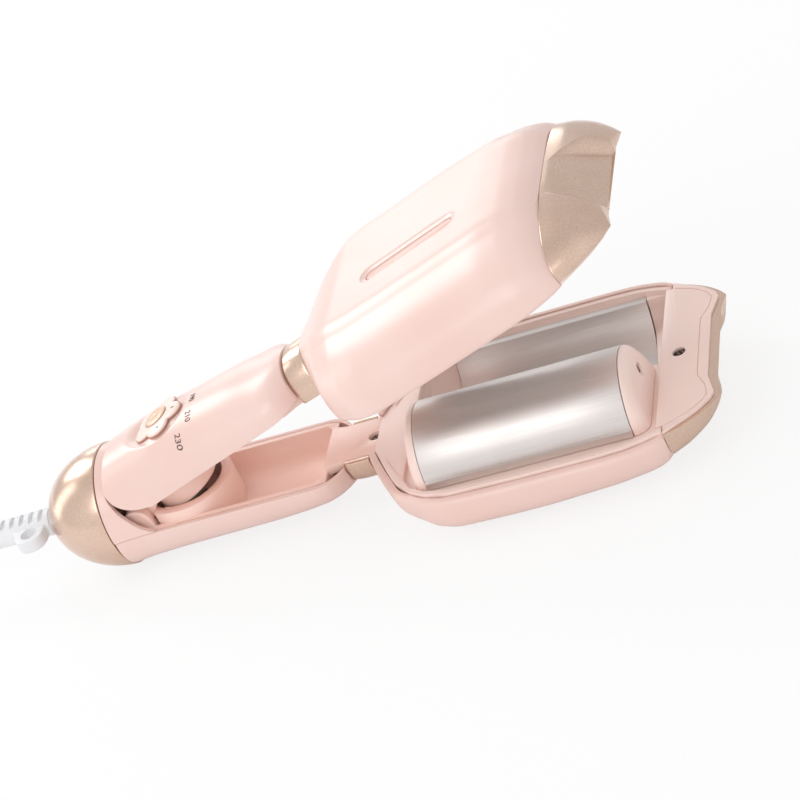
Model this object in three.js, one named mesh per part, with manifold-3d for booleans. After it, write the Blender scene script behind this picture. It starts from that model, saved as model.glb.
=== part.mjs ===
// Electric hair curler with two jaws, each holding a heated barrel and a heated groove.
// Millimetres, +Z up. Both arms are drawn in one arm frame: X runs from the rear dome to the tip,
// z = 0 is the plane where the jaws meet, and depth is measured outwards from that plane.
import * as THREE from 'three';
import { mergeVertices } from 'three/addons/utils/BufferGeometryUtils.js';
import { ConvexGeometry } from 'three/addons/geometries/ConvexGeometry.js';
import Module from 'manifold-3d';

const wasm = await Module();
wasm.setup();

// Clearances
const gap = 0.3;
const jawClearance = 1.3;
const pocketClearance = 1.0;
const overCut = 6;

// Heated barrel and groove, side by side across the arm
const barrelRadius = 20;
const centreGap = 0.5;
const plateWall = 1.1;
const barrelFoot = 2.6;
const barrelFootTurn = 10;
const barrelY = -(barrelRadius + centreGap);
const barrelZ = -3;
const grooveRadius = barrelRadius + jawClearance;
const grooveY = -barrelY;
const grooveZ = -barrelZ;
const grooveLip = 1.8;

// Overall layout: the head is as wide and deep as its plates and the room beside them need
const headWall = 2.5;
const headSideRoom = 4;
const headFloorRoom = 2.1;
const headHalfWidth = grooveY + grooveRadius + plateWall + grooveLip + headSideRoom + headWall;
const restDepth = grooveRadius - grooveZ + plateWall + headFloorRoom + headWall;
const openAngle = 18.47;
const hingeX = 10;
const handleEnd = 91.2;
const ringLength = 10;
const headLength = 112;
const tipLength = 20.6;
const ringStart = handleEnd + gap;
const ringEnd = ringStart + ringLength;
const headStart = ringEnd + gap;
const headEnd = headStart + headLength;
const tipStart = headEnd + gap;
const tipEnd = headEnd + tipLength;

// Rear dome, collar and swivel
const domeLength = 29;
const domeRadius = 23.4;
const domeWall = 2;
const collarRadius = 23;
const collarWall = 1.8;
const swivelRadius = 4.9;
const swivelFlangeRadius = 10;
const swivelFlangeThickness = 2;
const bootRadius = 5.4;
const bootTipRadius = 4.7;
const bootLength = 49;
const bootNotches = 11;
const bootNotchPitch = 4.1;
const bootNotchLength = 2.1;
const bootNotchDepth = 1.7;
const bootNotchFirst = 4.4;
const loopTabRadius = 5.9;
const loopTabThickness = 5;
const loopHoleRadius = 3.3;
const loopTabFlare = 4;
const loopX = -37.2;

// Handles
const handleHalfWidth = 21.5;
const lowerHandleDepth = 20;
const upperHandleDepth = 24.4;
const handleWall = 2.2;
const handleSquareness = 2.25;
const neckHalfWidth = 13.3;
const neckDepth = 16.6;
const lowerRim = -2.8;
const upperRim = -4.5;
const trayWall = 2;
const lowerTrayDepth = 12.4;
const upperTrayDepth = 9.5;
const trayStart = 3;

// Neck
const ringWall = 1.8;
const ringRim = -3.5;
const spigotWall = 2;
const spigotRim = -4.9;
const spigotReach = 4;
const tongueTop = -1;
const tongueThickness = 3.5;
const tongueHalfWidth = 11;
const tongueEnd = headStart + 6.4;

// Head shell
const slotLength = 41;
const slotWidth = 8;
const slotDepth = 0.8;
const slotX = headStart + 58.7;

// Frame plate inside the head
const frameTop = -2.5;
const frameThickness = 2.4;
const frameBorder = 2;
const borderTop = -0.6;
const capPlateThickness = 2.2;
const capPlateTop = -0.4;
const frameStart = tongueEnd + gap;

// Ends of the barrel and the groove
const plateRearMargin = 25.8;
const plateFrontMargin = 10.6;
const plateFrom = headStart + plateRearMargin;
const plateTo = headEnd - plateFrontMargin;
const capFrontLength = 5.6;
const capRearLength = 5;
const capFaceRadius = barrelRadius - 4.4;
const pocketWall = 1.3;
const pocketFrontLength = capFrontLength + 1.5;
const pocketRearLength = capRearLength + 5;

// Heaters and their clips
const heaterWidth = 14;
const heaterHeight = 6;
const heaterInset = 5;
const clipThickness = 0.8;
const clipWidth = 9;
const clipLength = 40;
const fuseRadius = 2;
const fuseLength = 11;

// Screws
const screwHeadRadius = 2.3;
const screwHeadHeight = 1.5;
const screwShankRadius = 1.3;
const screwLength = 8;
const screwRoom = 0.35;
const postRadius = 3.6;
const neckScrewX = headStart + 0.6;
const tipScrewX = tipStart + 4.4;
const capScrewY = barrelY + 5.3;
const capScrewZ = 7;

// Hinge and return spring
const pinRadius = 2.5;
const pinHalfLength = 17;
const lowerEarInner = 13.7;
const lowerEarWidth = 3.6;
const upperEarWidth = 3.6;
const earRadius = 5.4;
const bossX = 27;
const bossRadius = 18.2;
const bossWall = 3.8;
const bossTop = 1.4;
const bossCutX = 21;
const sleeveX = 27.9;
const sleeveRadius = 10.4;
const sleeveWall = 1.4;
const sleeveEnd = 4.6;
const springX = 26;
const springRadius = 5;
const springWire = 0.6;
const springTurns = 6;

// Dial and electronics
const dialX = 38;
const dialRadius = 12;
const dialCrown = 24;
const dialDroop = 1.4;
const dialThickness = 1.8;
const dialClearance = 0.5;
const dishWall = 1;
const petals = 5;
const firstPetal = 8;
const discRadius = 5;
const discThickness = 0.9;
const switchRadius = 5.6;
const shaftRadius = 2.6;
const boardThickness = 1.6;
const boardFrom = 22;
const boardLength = 56;
const boardHalfWidth = 9.5;
const shaftRoom = 0.4;

// Cord, coil, tie and plug
const cordRadius = 2.6;
const cordSides = 8;
const cordSteps = 14;
const coilPitch = 5.75;
const coilOuterRadius = 42.5;
const coilTurns = 8;
const coilStepsPerTurn = 24;
const coilSides = 6;
const coilLift = 1.4;
const coilStartX = -155;
const tieThickness = 1;
const tieWidth = 12;
const tieRoom = 1;
const tailLength = 38;
const plugLength = 36;
const plugHalfWidth = 12.5;
const plugHalfThickness = 8;
const plugTaper = 12;
const plugPinRadius = 2;
const plugPinLength = 19;
const plugPinSpacing = 19;

const floorZ = -restDepth;
const sectionSteps = 12;
const flatFrom = 2.3;
const flatShare = 0.97;
const openTurn = THREE.MathUtils.degToRad(openAngle);

// Finishes
const finishes = {
  shell: { color: 0xf6cfc4, roughness: 0.3, metalness: 0 },
  inner: { color: 0xf0b5a6, roughness: 0.42, metalness: 0 },
  gold: { color: 0xc9a684, roughness: 0.28, metalness: 0.85 },
  plate: { color: 0x9c8f88, roughness: 0.3, metalness: 0.95 },
  steel: { color: 0x8d8f92, roughness: 0.35, metalness: 0.95 },
  alloy: { color: 0xb9bcc0, roughness: 0.5, metalness: 0.9 },
  board: { color: 0x2f6b45, roughness: 0.6, metalness: 0 },
  dark: { color: 0x2b2b2d, roughness: 0.55, metalness: 0 },
  cord: { color: 0xe9e9ea, roughness: 0.5, metalness: 0 },
};

function piece(name, geometry, finish) {
  const mesh = new THREE.Mesh(geometry, new THREE.MeshStandardMaterial(finishes[finish]));
  mesh.name = name;
  return mesh;
}

function signedArea(outline) {
  return THREE.ShapeUtils.area(outline.map(([y, z]) => new THREE.Vector2(y, z)));
}

// Solid from closed outlines of [y, z] points, one outline for each x, all with the same count
function loft(stations) {
  const reversed = signedArea(stations[0].outline) < 0;
  const rings = stations.map(({ outline }) => (reversed ? [...outline].reverse() : outline));
  const count = rings[0].length;
  const positions = [];
  const index = [];
  rings.forEach((ring, row) => ring.forEach(([y, z]) => positions.push(stations[row].x, y, z)));
  for (let row = 0; row + 1 < rings.length; row += 1) {
    for (let k = 0; k < count; k += 1) {
      const a = row * count + k;
      const b = row * count + (k + 1) % count;
      index.push(a, b, b + count, a, b + count, a + count);
    }
  }
  for (const end of [0, rings.length - 1]) {
    const ring = rings[end];
    const contour = ring.map(([y, z]) => new THREE.Vector2(y, z));
    for (const [a, b, c] of THREE.ShapeUtils.triangulateShape(contour, [])) {
      const facesUp = signedArea([ring[a], ring[b], ring[c]]) > 0;
      const order = facesUp === (end > 0) ? [a, b, c] : [a, c, b];
      index.push(...order.map((value) => value + end * count));
    }
  }
  const geometry = new THREE.BufferGeometry();
  geometry.setAttribute('position', new THREE.Float32BufferAttribute(positions, 3));
  geometry.setIndex(index);
  return geometry;
}

// Half bowl outline: straight at the rim, rounded or squared below it. The squareness is one
// number, or a pair for the barrel side and the groove side.
function bowl(halfWidth, depth, squareness, rim, steps = sectionSteps) {
  const [barrelSide, grooveSide] = Array.isArray(squareness) ? squareness : [squareness, squareness];
  const outline = [];
  for (let k = 0; k <= steps; k += 1) {
    const turn = Math.PI * k / steps;
    const power = 2 / (turn > Math.PI / 2 ? barrelSide : grooveSide);
    const across = Math.sign(Math.cos(turn)) * Math.abs(Math.cos(turn)) ** power;
    const down = Math.sin(turn) ** power;
    const flat = 2 / power > flatFrom && down > flatShare ? 1 : down;
    outline.push([halfWidth * across, rim - (depth + rim) * flat]);
  }
  return outline;
}

// The same outline raised above its rim, for cutting a bowl open
function openBowl(halfWidth, depth, squareness, rim, rise = overCut) {
  const outline = bowl(halfWidth, depth, squareness, rim);
  const last = outline.length - 1;
  return [[outline[0][0], rim + rise], ...outline, [outline[last][0], rim + rise]];
}

// Stations with every section drawn in by one amount
function inset(sections, amount, rim, open = false) {
  const draw = open ? openBowl : bowl;
  return sections.map(({ x, halfWidth, depth, squareness }) => (
    { x, outline: draw(halfWidth - amount, depth - amount, squareness, rim) }));
}

// Outline of a strip of one thickness along an open path of [u, v] points, on its left side
function strip(path, thickness) {
  const offset = path.map(([u, v], k) => {
    const before = path[Math.max(k - 1, 0)];
    const after = path[Math.min(k + 1, path.length - 1)];
    const length = Math.hypot(after[0] - before[0], after[1] - before[1]);
    const normal = [-(after[1] - before[1]) / length, (after[0] - before[0]) / length];
    return [u + thickness * normal[0], v + thickness * normal[1]];
  });
  return [...path, ...offset.reverse()];
}

function arc(centreU, centreV, radius, from, to, steps) {
  const points = [];
  for (let k = 0; k <= steps; k += 1) {
    const turn = THREE.MathUtils.degToRad(from + (to - from) * k / steps);
    points.push([centreU + radius * Math.cos(turn), centreV + radius * Math.sin(turn)]);
  }
  return points;
}

function prism(outline, from, to) {
  return loft([{ x: from, outline }, { x: to, outline }]);
}

// Prism standing along Z from an [x, y] outline
function slab(outline, bottom, top) {
  const shape = new THREE.Shape(outline.map(([x, y]) => new THREE.Vector2(x, y)));
  const geometry = new THREE.ExtrudeGeometry(shape, { depth: top - bottom, bevelEnabled: false });
  return geometry.translate(0, 0, bottom);
}

// Prism lying along Y from an [x, z] outline
function sideSlab(outline, from, to) {
  return prism(outline, -to, -from).rotateZ(-Math.PI / 2);
}

function flipFaces(geometry) {
  const merged = geometry.index ? geometry : mergeVertices(bare(geometry));
  const index = merged.index.array;
  for (let k = 0; k < index.length; k += 3) {
    [index[k + 1], index[k + 2]] = [index[k + 2], index[k + 1]];
  }
  return merged;
}

function bare(geometry) {
  const copy = geometry.clone();
  copy.deleteAttribute('normal');
  copy.deleteAttribute('uv');
  return copy;
}

function box(fromX, toX, fromY, toY, fromZ, toZ) {
  const geometry = new THREE.BoxGeometry(toX - fromX, toY - fromY, toZ - fromZ);
  return geometry.translate((fromX + toX) / 2, (fromY + toY) / 2, (fromZ + toZ) / 2);
}

function rod(radius, length, sides, axis) {
  const geometry = new THREE.CylinderGeometry(radius, radius, length, sides);
  if (axis === 'x') {
    geometry.rotateZ(-Math.PI / 2);
  }
  if (axis === 'z') {
    geometry.rotateX(Math.PI / 2);
  }
  return geometry;
}

// Upright rod between two heights
function post(radius, x, y, bottom, top, sides = 12) {
  return rod(radius, top - bottom, sides, 'z').translate(x, y, (bottom + top) / 2);
}

// Closed profile of [x, radius] points turned about the arm's X axis
function turned(profile, sides) {
  const points = profile.map(([x, radius]) => new THREE.Vector2(radius, x));
  return outward(new THREE.LatheGeometry(points, sides).rotateZ(-Math.PI / 2));
}

// Solid whose faces point out, whichever way its profile was drawn
function outward(geometry) {
  const merged = mergeVertices(bare(geometry), 1e-4);
  const p = merged.attributes.position;
  const index = merged.index.array;
  let volume = 0;
  const [a, b, c] = [new THREE.Vector3(), new THREE.Vector3(), new THREE.Vector3()];
  for (let k = 0; k < index.length; k += 3) {
    a.fromBufferAttribute(p, index[k]);
    b.fromBufferAttribute(p, index[k + 1]);
    c.fromBufferAttribute(p, index[k + 2]);
    volume += a.dot(b.cross(c));
  }
  return volume < 0 ? flipFaces(merged) : merged;
}

function solid(geometry) {
  const merged = mergeVertices(bare(geometry), 1e-4);
  return new wasm.Manifold(new wasm.Mesh({
    numProp: 3,
    vertProperties: new Float32Array(merged.attributes.position.array),
    triVerts: new Uint32Array(merged.index.array),
  }));
}

function geometryOf(manifold) {
  const mesh = manifold.getMesh();
  const geometry = new THREE.BufferGeometry();
  geometry.setAttribute('position', new THREE.BufferAttribute(new Float32Array(mesh.vertProperties), 3));
  geometry.setIndex(new THREE.BufferAttribute(new Uint32Array(mesh.triVerts), 1));
  return geometry;
}

// Base with geometries joined on and then others cut away
function shaped(base, joined, cut = []) {
  let result = solid(base);
  for (const geometry of joined) {
    result = result.add(solid(geometry));
  }
  for (const geometry of cut) {
    result = result.subtract(solid(geometry));
  }
  return geometryOf(result);
}

function clipped(base, keep) {
  return geometryOf(solid(base).intersect(solid(keep)));
}

// Head sections. The rear and front shoulders are given by distance from their own end, and by
// how far each section is drawn in from the full width and depth.
const rearShoulder = [
  [0, 1, 1, [2.2, 2.2]],
  [3.4, 0.79, 0.848, [2.3, 2.25]],
  [8.3, 0.524, 0.545, [2.5, 2.3]],
  [12.7, 0.327, 0.303, [2.7, 2.35]],
  [19, 0.202, 0.106, [3, 2.4]],
  [25, 0.093, 0, [3.3, 2.4]],
  [34, 0.021, 0, [3.5, 2.45]],
];
const frontShoulder = [
  [52, 0, 0, [3.5, 2.45]],
  [24, 0, 0, [3.1, 2.45]],
  [14, 0.6, 0.6, [3, 2.4]],
  [6.8, 2.2, 2.3, [3.3, 2.35]],
  [2.6, 3.8, 4.8, [3.7, 2.3]],
  [0, 5.7, 7.5, [4, 2.25]],
];

function headSections() {
  const section = (x, [, narrow, shallow, squareness]) => (
    { x, halfWidth: headHalfWidth - narrow, depth: restDepth - shallow, squareness });
  const dropWidth = headHalfWidth - neckHalfWidth - gap;
  const dropDepth = restDepth - neckDepth - 0.8;
  return [
    ...rearShoulder.map(([along, narrow, shallow, squareness]) => section(
      headStart + along, [along, narrow * dropWidth, shallow * dropDepth, squareness])),
    ...frontShoulder.map((row) => section(headEnd - row[0], row)),
  ];
}

// Inner cavity of the head, pushed forward where the rear shoulder is steep
function headCavity(wall, open) {
  const sections = headSections();
  const first = sections[0];
  const inner = sections.map((part, k) => ({ ...part, x: part.x + (k < 4 ? wall * 0.8 : 0) }));
  inner[inner.length - 1].x += overCut;
  inner.unshift({ ...first, x: first.x - overCut });
  return loft(inset(inner, wall, 0, open));
}

// Handle rows: the first ones by distance from the dome, the others by distance from the neck,
// each with how far the section is drawn in from the full width and depth.
const lowerHandle = {
  depth: lowerHandleDepth,
  fromDome: [[0, -1.1, -1.4], [10, 0, -0.7], [26, 0, 0]],
  fromNeck: [[30, 0, 0.4], [11, 0, 1], [6.6, 1.1, 1.6], [3, 4.1, 2.4], [0, 8.2, 3.4]],
};
const upperHandle = {
  depth: upperHandleDepth,
  fromDome: [[0, 0, 0.2], [30, 0, 0.2], [38, 0, 1], [50, 0, 2.5]],
  fromNeck: [[24, 0, 4.2], [11, 0, 6.4], [6.6, 1.1, 6.8], [3, 4.1, 7.2], [0, 8.2, 7.8]],
};

function handleSections(handle, start) {
  const section = (x, [, narrow, shallow]) => ({
    x,
    halfWidth: handleHalfWidth - narrow,
    depth: handle.depth - shallow,
    squareness: handleSquareness,
  });
  return [
    ...handle.fromDome.map((row) => section(start + row[0], row)),
    ...handle.fromNeck.map((row) => section(handleEnd - row[0], row)),
  ];
}

// The same rows without the flare at the dome, for what lines the handle
function liningSections(handle) {
  const [, second, ...rest] = handleSections(handle, gap);
  const wide = { ...rest[0], x: trayStart, depth: Math.min(second.depth, rest[0].depth) };
  return [wide, ...rest];
}

// Where the handle's full width ends and its neck begins
const neckRow = lowerHandle.fromNeck[2][0];

// Rim outline of the tip: prongs at the sides, a shallow notch between them
const prongHalfSpan = 30;
const notchHalfSpan = 19.5;
const notchDepth = 3.6;
const tipWall = 2.2;
const tipBand = 5.2;
const facetHalfTop = 13;

// Tip rows: distance from the seam, then narrower and shallower than the seam's section by
const tipRows = [
  [0, 0, 0, [4, 2.25]],
  [tipBand, 2.1, 0.9, [3.6, 2.3]],
  [tipBand + 2.8, 3.7, 1.7, [3.4, 2.4]],
  [tipBand + 7.6, 7.1, 3.5, [3, 2.6]],
  [tipBand + 12.4, 11.9, 8.1, [2.6, 2.6]],
];

function tipSections() {
  const root = headSections().at(-1);
  return [
    ...tipRows.map(([along, narrow, shallow, squareness]) => ({
      x: tipStart + along,
      halfWidth: root.halfWidth - narrow,
      depth: root.depth - shallow,
      squareness,
    })),
    { x: tipEnd, halfWidth: prongHalfSpan, depth: 3.4, squareness: [2.2, 2.2] },
  ];
}

// Everything in front of the central facet, from its top edge down to the notch
function facetCutter(drawBack = 0) {
  const crest = tipStart + tipBand - drawBack;
  const notch = tipEnd - notchDepth - drawBack;
  const low = -(tipSections()[1].depth);
  const corners = [];
  for (const side of [-1, 1]) {
    corners.push(new THREE.Vector3(crest, side * facetHalfTop, low));
    corners.push(new THREE.Vector3(notch, side * notchHalfSpan, 0.1));
    corners.push(new THREE.Vector3(notch, side * notchHalfSpan, overCut));
    corners.push(new THREE.Vector3(crest, side * facetHalfTop, low - overCut));
    corners.push(new THREE.Vector3(tipEnd + overCut, side * (notchHalfSpan + 5), overCut));
    corners.push(new THREE.Vector3(tipEnd + overCut, side * (facetHalfTop + 5), low - overCut));
  }
  return new ConvexGeometry(corners);
}

function tipOutline(drawIn) {
  const half = tipSections().map(({ x, halfWidth }) => [x, halfWidth - drawIn]);
  half.pop();
  half.push([tipEnd - drawIn, prongHalfSpan - drawIn * 0.5]);
  half.push([tipEnd - notchDepth - drawIn, notchHalfSpan - drawIn]);
  return [...half, ...half.map(([x, y]) => [x, -y]).reverse()];
}

// One screw: domed head on a shank, standing along Z with its head's top at the given height
function screw(x, y, top) {
  const head = post(screwHeadRadius, x, y, top - screwHeadHeight, top, 12);
  const shank = post(screwShankRadius, x, y, top - screwLength, top - screwHeadHeight + 0.2, 8);
  const drive = box(x - 1.6, x + 1.6, y - 0.3, y + 0.3, top - 0.5, top + 1);
  const cross = box(x - 0.3, x + 0.3, y - 1.6, y + 1.6, top - 0.5, top + 1);
  return shaped(head, [shank], [drive, cross]);
}

function screwHole(x, y, top) {
  return [
    post(screwHeadRadius + screwRoom, x, y, top - screwHeadHeight - screwRoom, top + overCut, 12),
    post(screwShankRadius + screwRoom, x, y, top - screwLength - screwRoom, top, 8),
  ];
}

const neckScrewTop = tongueTop - 0.5;
const tipScrewTop = capPlateTop - 0.3;

// Head shell with the neck spigot and the post that the neck screw bites into
function headShell() {
  const outer = loft(inset(headSections(), 0, 0));
  const spigot = { halfWidth: neckHalfWidth - ringWall - gap, depth: neckDepth - ringWall - gap };
  const spigotSections = [
    { ...spigot, x: ringStart - spigotReach, squareness: handleSquareness },
    { ...spigot, x: headStart + 1.5, squareness: handleSquareness },
  ];
  const spigotBore = spigotSections.map((part, k) => ({ ...part, x: part.x + (k ? 3 : -overCut) }));
  const slot = [
    ...arc(slotX + (slotLength - slotWidth) / 2, 0, slotWidth / 2, -90, 90, 8),
    ...arc(slotX - (slotLength - slotWidth) / 2, 0, slotWidth / 2, 90, 270, 8),
  ];
  const postBottom = -neckDepth + ringWall + gap + 1;
  const shell = shaped(
    shaped(outer, [], [headCavity(headWall, true)]),
    [loft(inset(spigotSections, 0, ringRim))],
    [
      loft(inset(spigotBore, spigotWall, ringRim, true)),
      box(ringStart - overCut, headStart, -neckHalfWidth, neckHalfWidth, spigotRim, overCut),
      slab(slot, -restDepth - 1, -restDepth + slotDepth),
      box(headStart - 1, frameStart, -tongueHalfWidth - gap, tongueHalfWidth + gap,
        tongueTop - tongueThickness - gap, overCut),
    ],
  );
  const [, shankHole] = screwHole(neckScrewX, 0, neckScrewTop);
  return shaped(
    shell,
    [post(postRadius, neckScrewX, 0, postBottom, tongueTop - tongueThickness - gap, 12)],
    [shankHole],
  );
}

function neckRing() {
  const section = { halfWidth: neckHalfWidth + 0.2, depth: neckDepth + 0.1, squareness: 2.25 };
  const waist = { ...section, halfWidth: neckHalfWidth - 0.1, depth: neckDepth - 0.2 };
  const outer = [
    { ...section, x: ringStart },
    { ...waist, x: ringStart + ringLength / 2 },
    { ...section, x: ringEnd },
  ];
  const bore = { halfWidth: neckHalfWidth, depth: neckDepth, squareness: handleSquareness };
  const inner = [{ ...bore, x: ringStart - 1 }, { ...bore, x: ringEnd + 1 }];
  return shaped(loft(inset(outer, 0, ringRim)), [], [loft(inset(inner, ringWall, ringRim, true))]);
}

function tipCap() {
  const rimLevel = capPlateTop - capPlateThickness - gap;
  const outer = shaped(loft(inset(tipSections(), 0, 0)), [], [facetCutter()]);
  const innerSections = tipSections().slice(0, 5);
  innerSections[0].x -= 1;
  const inner = shaped(loft(inset(innerSections, tipWall, 0)), [], [facetCutter(tipWall * 1.3)]);
  const hollow = shaped(outer, [], [inner, box(headEnd - 1, tipEnd + 1, -headHalfWidth, headHalfWidth, rimLevel, overCut)]);
  const [, shankHole] = screwHole(tipScrewX, 0, tipScrewTop);
  const column = clipped(
    post(postRadius, tipScrewX, 0, -restDepth, rimLevel, 12),
    shaped(loft(inset(tipSections(), 0.3, 0)), [], [facetCutter()]),
  );
  return shaped(hollow, [column], [shankHole]);
}

// Half ring channel around the groove's axis, used for the pockets past the groove's ends
function grooveRound(radius, from, to) {
  return rod(radius, to - from, 32, 'x').translate((from + to) / 2, grooveY, grooveZ);
}

function headFrame() {
  const top = frameTop;
  const bottom = frameTop - frameThickness;
  const cavity = headCavity(headWall + gap, true);
  const plate = clipped(
    box(frameStart, headEnd - gap, -headHalfWidth, headHalfWidth, bottom, top), cavity);
  const border = shaped(
    clipped(box(frameStart, headEnd - gap, -headHalfWidth, headHalfWidth, top - 1, borderTop), cavity),
    [],
    [clipped(
      box(frameStart - 1, headEnd + 1, -headHalfWidth, headHalfWidth, top - 2, borderTop + 1),
      headCavity(headWall + gap + frameBorder, true),
    )],
  );
  const capPlate = slab(tipOutline(gap), capPlateTop - capPlateThickness, capPlateTop);
  const bridge = clipped(
    box(headEnd - 2.2, tipStart + 0.4, -headHalfWidth, headHalfWidth, bottom, capPlateTop),
    loft(inset(tipSections().slice(0, 2).map((part, k) => ({ ...part, x: k ? part.x : part.x - 9 })),
      headWall + gap, 0)),
  );
  const pocketRadius = grooveRadius + pocketClearance;
  const rearPocket = [plateFrom - gap - pocketRearLength, plateFrom - gap];
  const frontPocket = [plateTo + gap, plateTo + gap + pocketFrontLength];
  const pockets = [rearPocket, frontPocket];
  const outside = headCavity(headWall + gap, true);
  const inside = headCavity(headWall + gap + pocketWall, true);
  const shells = pockets.map(([from, to]) => clipped(
    clipped(
      grooveRound(pocketRadius + pocketWall, from - pocketWall, to + pocketWall),
      box(from - pocketWall, to + pocketWall, -3, headHalfWidth, -restDepth, top - 0.5),
    ),
    outside,
  ));
  const hollows = pockets.map(([from, to]) => clipped(grooveRound(pocketRadius, from, to), inside));
  const lipRoom = box(plateFrom - gap, plateTo + gap, grooveY, grooveOuterY() + grooveLip + gap, top, overCut);
  const opening = box(
    plateFrom - gap - 0.02, plateTo + gap + 0.02, grooveInnerY(), grooveOuterY() + gap, -restDepth, overCut);
  const wiring = box(plateFrom + 3, plateFrom + 11, barrelY - 4, barrelY + 4, -restDepth, overCut);
  const holes = screwHole(tipScrewX, 0, tipScrewTop);
  return shaped(plate, [border, capPlate, bridge, ...shells], [...hollows, opening, lipRoom, wiring, ...holes]);
}

// Groove plate: a bent sheet between two angles, with a flat lip resting on the frame's far side
const grooveStartTurn = 206;
const grooveEndTurn = 345;

function grooveInnerY() {
  return grooveY + (grooveRadius + plateWall) * Math.cos(THREE.MathUtils.degToRad(grooveStartTurn)) - gap;
}

function grooveOuterY() {
  return grooveY + grooveRadius + plateWall;
}

function groovePlate() {
  const turn = arc(grooveY, grooveZ, grooveRadius, grooveEndTurn, grooveStartTurn, 16);
  const lipLevel = frameTop + gap;
  const path = [
    [grooveOuterY() + grooveLip, lipLevel],
    [turn[0][0] + 0.5, lipLevel],
    ...turn,
  ];
  return prism(strip(path, -plateWall), plateFrom, plateTo);
}

function barrel() {
  const level = frameTop + gap;
  const farTurn = (radius) => THREE.MathUtils.radToDeg(Math.asin((level - barrelZ) / radius));
  const nearTurn = 180 - barrelFootTurn;
  const inner = barrelRadius - plateWall;
  const foot = barrelY - barrelRadius - barrelFoot;
  const outline = [
    [foot, level],
    ...arc(barrelY, barrelZ, barrelRadius, nearTurn, farTurn(barrelRadius), 22),
    ...arc(barrelY, barrelZ, inner, farTurn(inner), nearTurn, 22),
    [foot + plateWall * 1.4, level],
  ];
  return prism(outline, plateFrom, plateTo);
}

// End cap of the barrel: a plug standing on the frame, rounded towards its free face
function barrelCap(from, length, hole) {
  const level = frameTop + gap;
  const profile = [
    [from, barrelRadius - 0.2],
    [from + length * 0.5, barrelRadius - 0.6],
    [from + length * 0.85, (barrelRadius + capFaceRadius) / 2],
    [from + length, capFaceRadius],
  ];
  const stations = profile.map(([x, radius]) => {
    const turn = THREE.MathUtils.radToDeg(Math.asin((level - barrelZ) / radius));
    return { x, outline: arc(barrelY, barrelZ, radius, turn, 180 - turn, 16) };
  });
  const body = loft(length > 0 ? stations : stations.reverse());
  if (!hole) {
    return body;
  }
  const face = from + length;
  const sink = rod(screwHeadRadius + screwRoom, 2 * (screwHeadHeight + 0.4), 12, 'x');
  const bore = rod(screwShankRadius + screwRoom, 2 * length, 8, 'x');
  const at = [face, capScrewY, capScrewZ];
  return shaped(body, [], [sink.translate(...at), bore.translate(...at)]);
}

// The screw in the front cap, lying along X
function capScrew() {
  const head = plateTo + gap + capFrontLength - 0.3;
  const lying = screw(0, 0, 0);
  lying.rotateY(Math.PI / 2);
  return lying.translate(head, capScrewY, capScrewZ);
}

// Heater bar pressed against the inside of a curved plate by a bent leaf spring
function barrelHeater() {
  const inside = barrelRadius - plateWall - gap;
  const top = barrelZ + Math.sqrt(inside ** 2 - (heaterWidth / 2) ** 2);
  return box(plateFrom + heaterInset, plateTo - heaterInset - 4, barrelY - heaterWidth / 2,
    barrelY + heaterWidth / 2, top - heaterHeight, top);
}

function barrelHeaterBottom() {
  const inside = barrelRadius - plateWall - gap;
  return barrelZ + Math.sqrt(inside ** 2 - (heaterWidth / 2) ** 2) - heaterHeight;
}

// Leaf clip: feet on one level, crown just under the heater
function leafClip(centreX, feet, crown) {
  const half = clipLength / 2;
  const path = [
    [centreX - half, feet],
    [centreX - half * 0.7, feet],
    [centreX - half * 0.3, crown - clipThickness],
    [centreX + half * 0.3, crown - clipThickness],
    [centreX + half * 0.7, feet],
    [centreX + half, feet],
  ];
  return sideSlab(strip(path, clipThickness), -clipWidth / 2, clipWidth / 2);
}

function barrelClip() {
  const centre = (plateFrom + plateTo) / 2 + 8;
  return leafClip(centre, frameTop + gap, barrelHeaterBottom() - gap).translate(0, barrelY, 0);
}

// The groove's heater sits against the outside of its plate, turned to face the groove's axis
const grooveHeaterTurn = 224;
const grooveHeaterWidth = 11;
const grooveHeaterHeight = 4;

function towardsGroove(geometry) {
  geometry.rotateX(THREE.MathUtils.degToRad(grooveHeaterTurn + 90));
  return geometry.translate(0, grooveY, grooveZ);
}

function grooveHeater() {
  const near = grooveRadius + plateWall + gap;
  return towardsGroove(box(plateFrom + heaterInset, plateTo - heaterInset, -grooveHeaterWidth / 2,
    grooveHeaterWidth / 2, -near - grooveHeaterHeight, -near));
}

function grooveClip() {
  const face = -(grooveRadius + plateWall + gap + grooveHeaterHeight + gap);
  const centre = (plateFrom + plateTo) / 2;
  return towardsGroove(leafClip(centre, face - clipThickness, face - 2));
}

// Handle shell: a half shell open on its inner side
function handleShell(handle, rim, start) {
  const sections = handleSections(handle, start);
  const cavity = handleSections(handle, start);
  cavity[0].x -= overCut;
  cavity.at(-1).x += overCut;
  return shaped(loft(inset(sections, 0, rim)), [], [loft(inset(cavity, handleWall, rim, true))]);
}

// Tray that lines the handle: a shallow channel that rises to a tongue over the neck
function handleTray(handle, rim, depth) {
  const drawn = handleWall + gap;
  const outer = liningSections(handle).filter(({ x }) => x < handleEnd - neckRow + 1);
  const rise = (k) => (k === outer.length - 1 ? depth * 0.42 : 0);
  const row = (part, k, wall) => ({
    ...part,
    halfWidth: part.halfWidth - drawn - wall - (wall && k === outer.length - 1 ? 1.5 : 0),
    depth: drawn + depth - wall - rise(k),
  });
  const body = outer.map((part, k) => row(part, k, 0));
  const channel = outer.map((part, k) => row(part, k, trayWall));
  channel[0].x += trayWall;
  channel.at(-1).x -= trayWall;
  return {
    body: loft(inset(body, 0, rim)),
    channel: loft(inset(channel, 0, rim, true)),
  };
}

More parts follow.
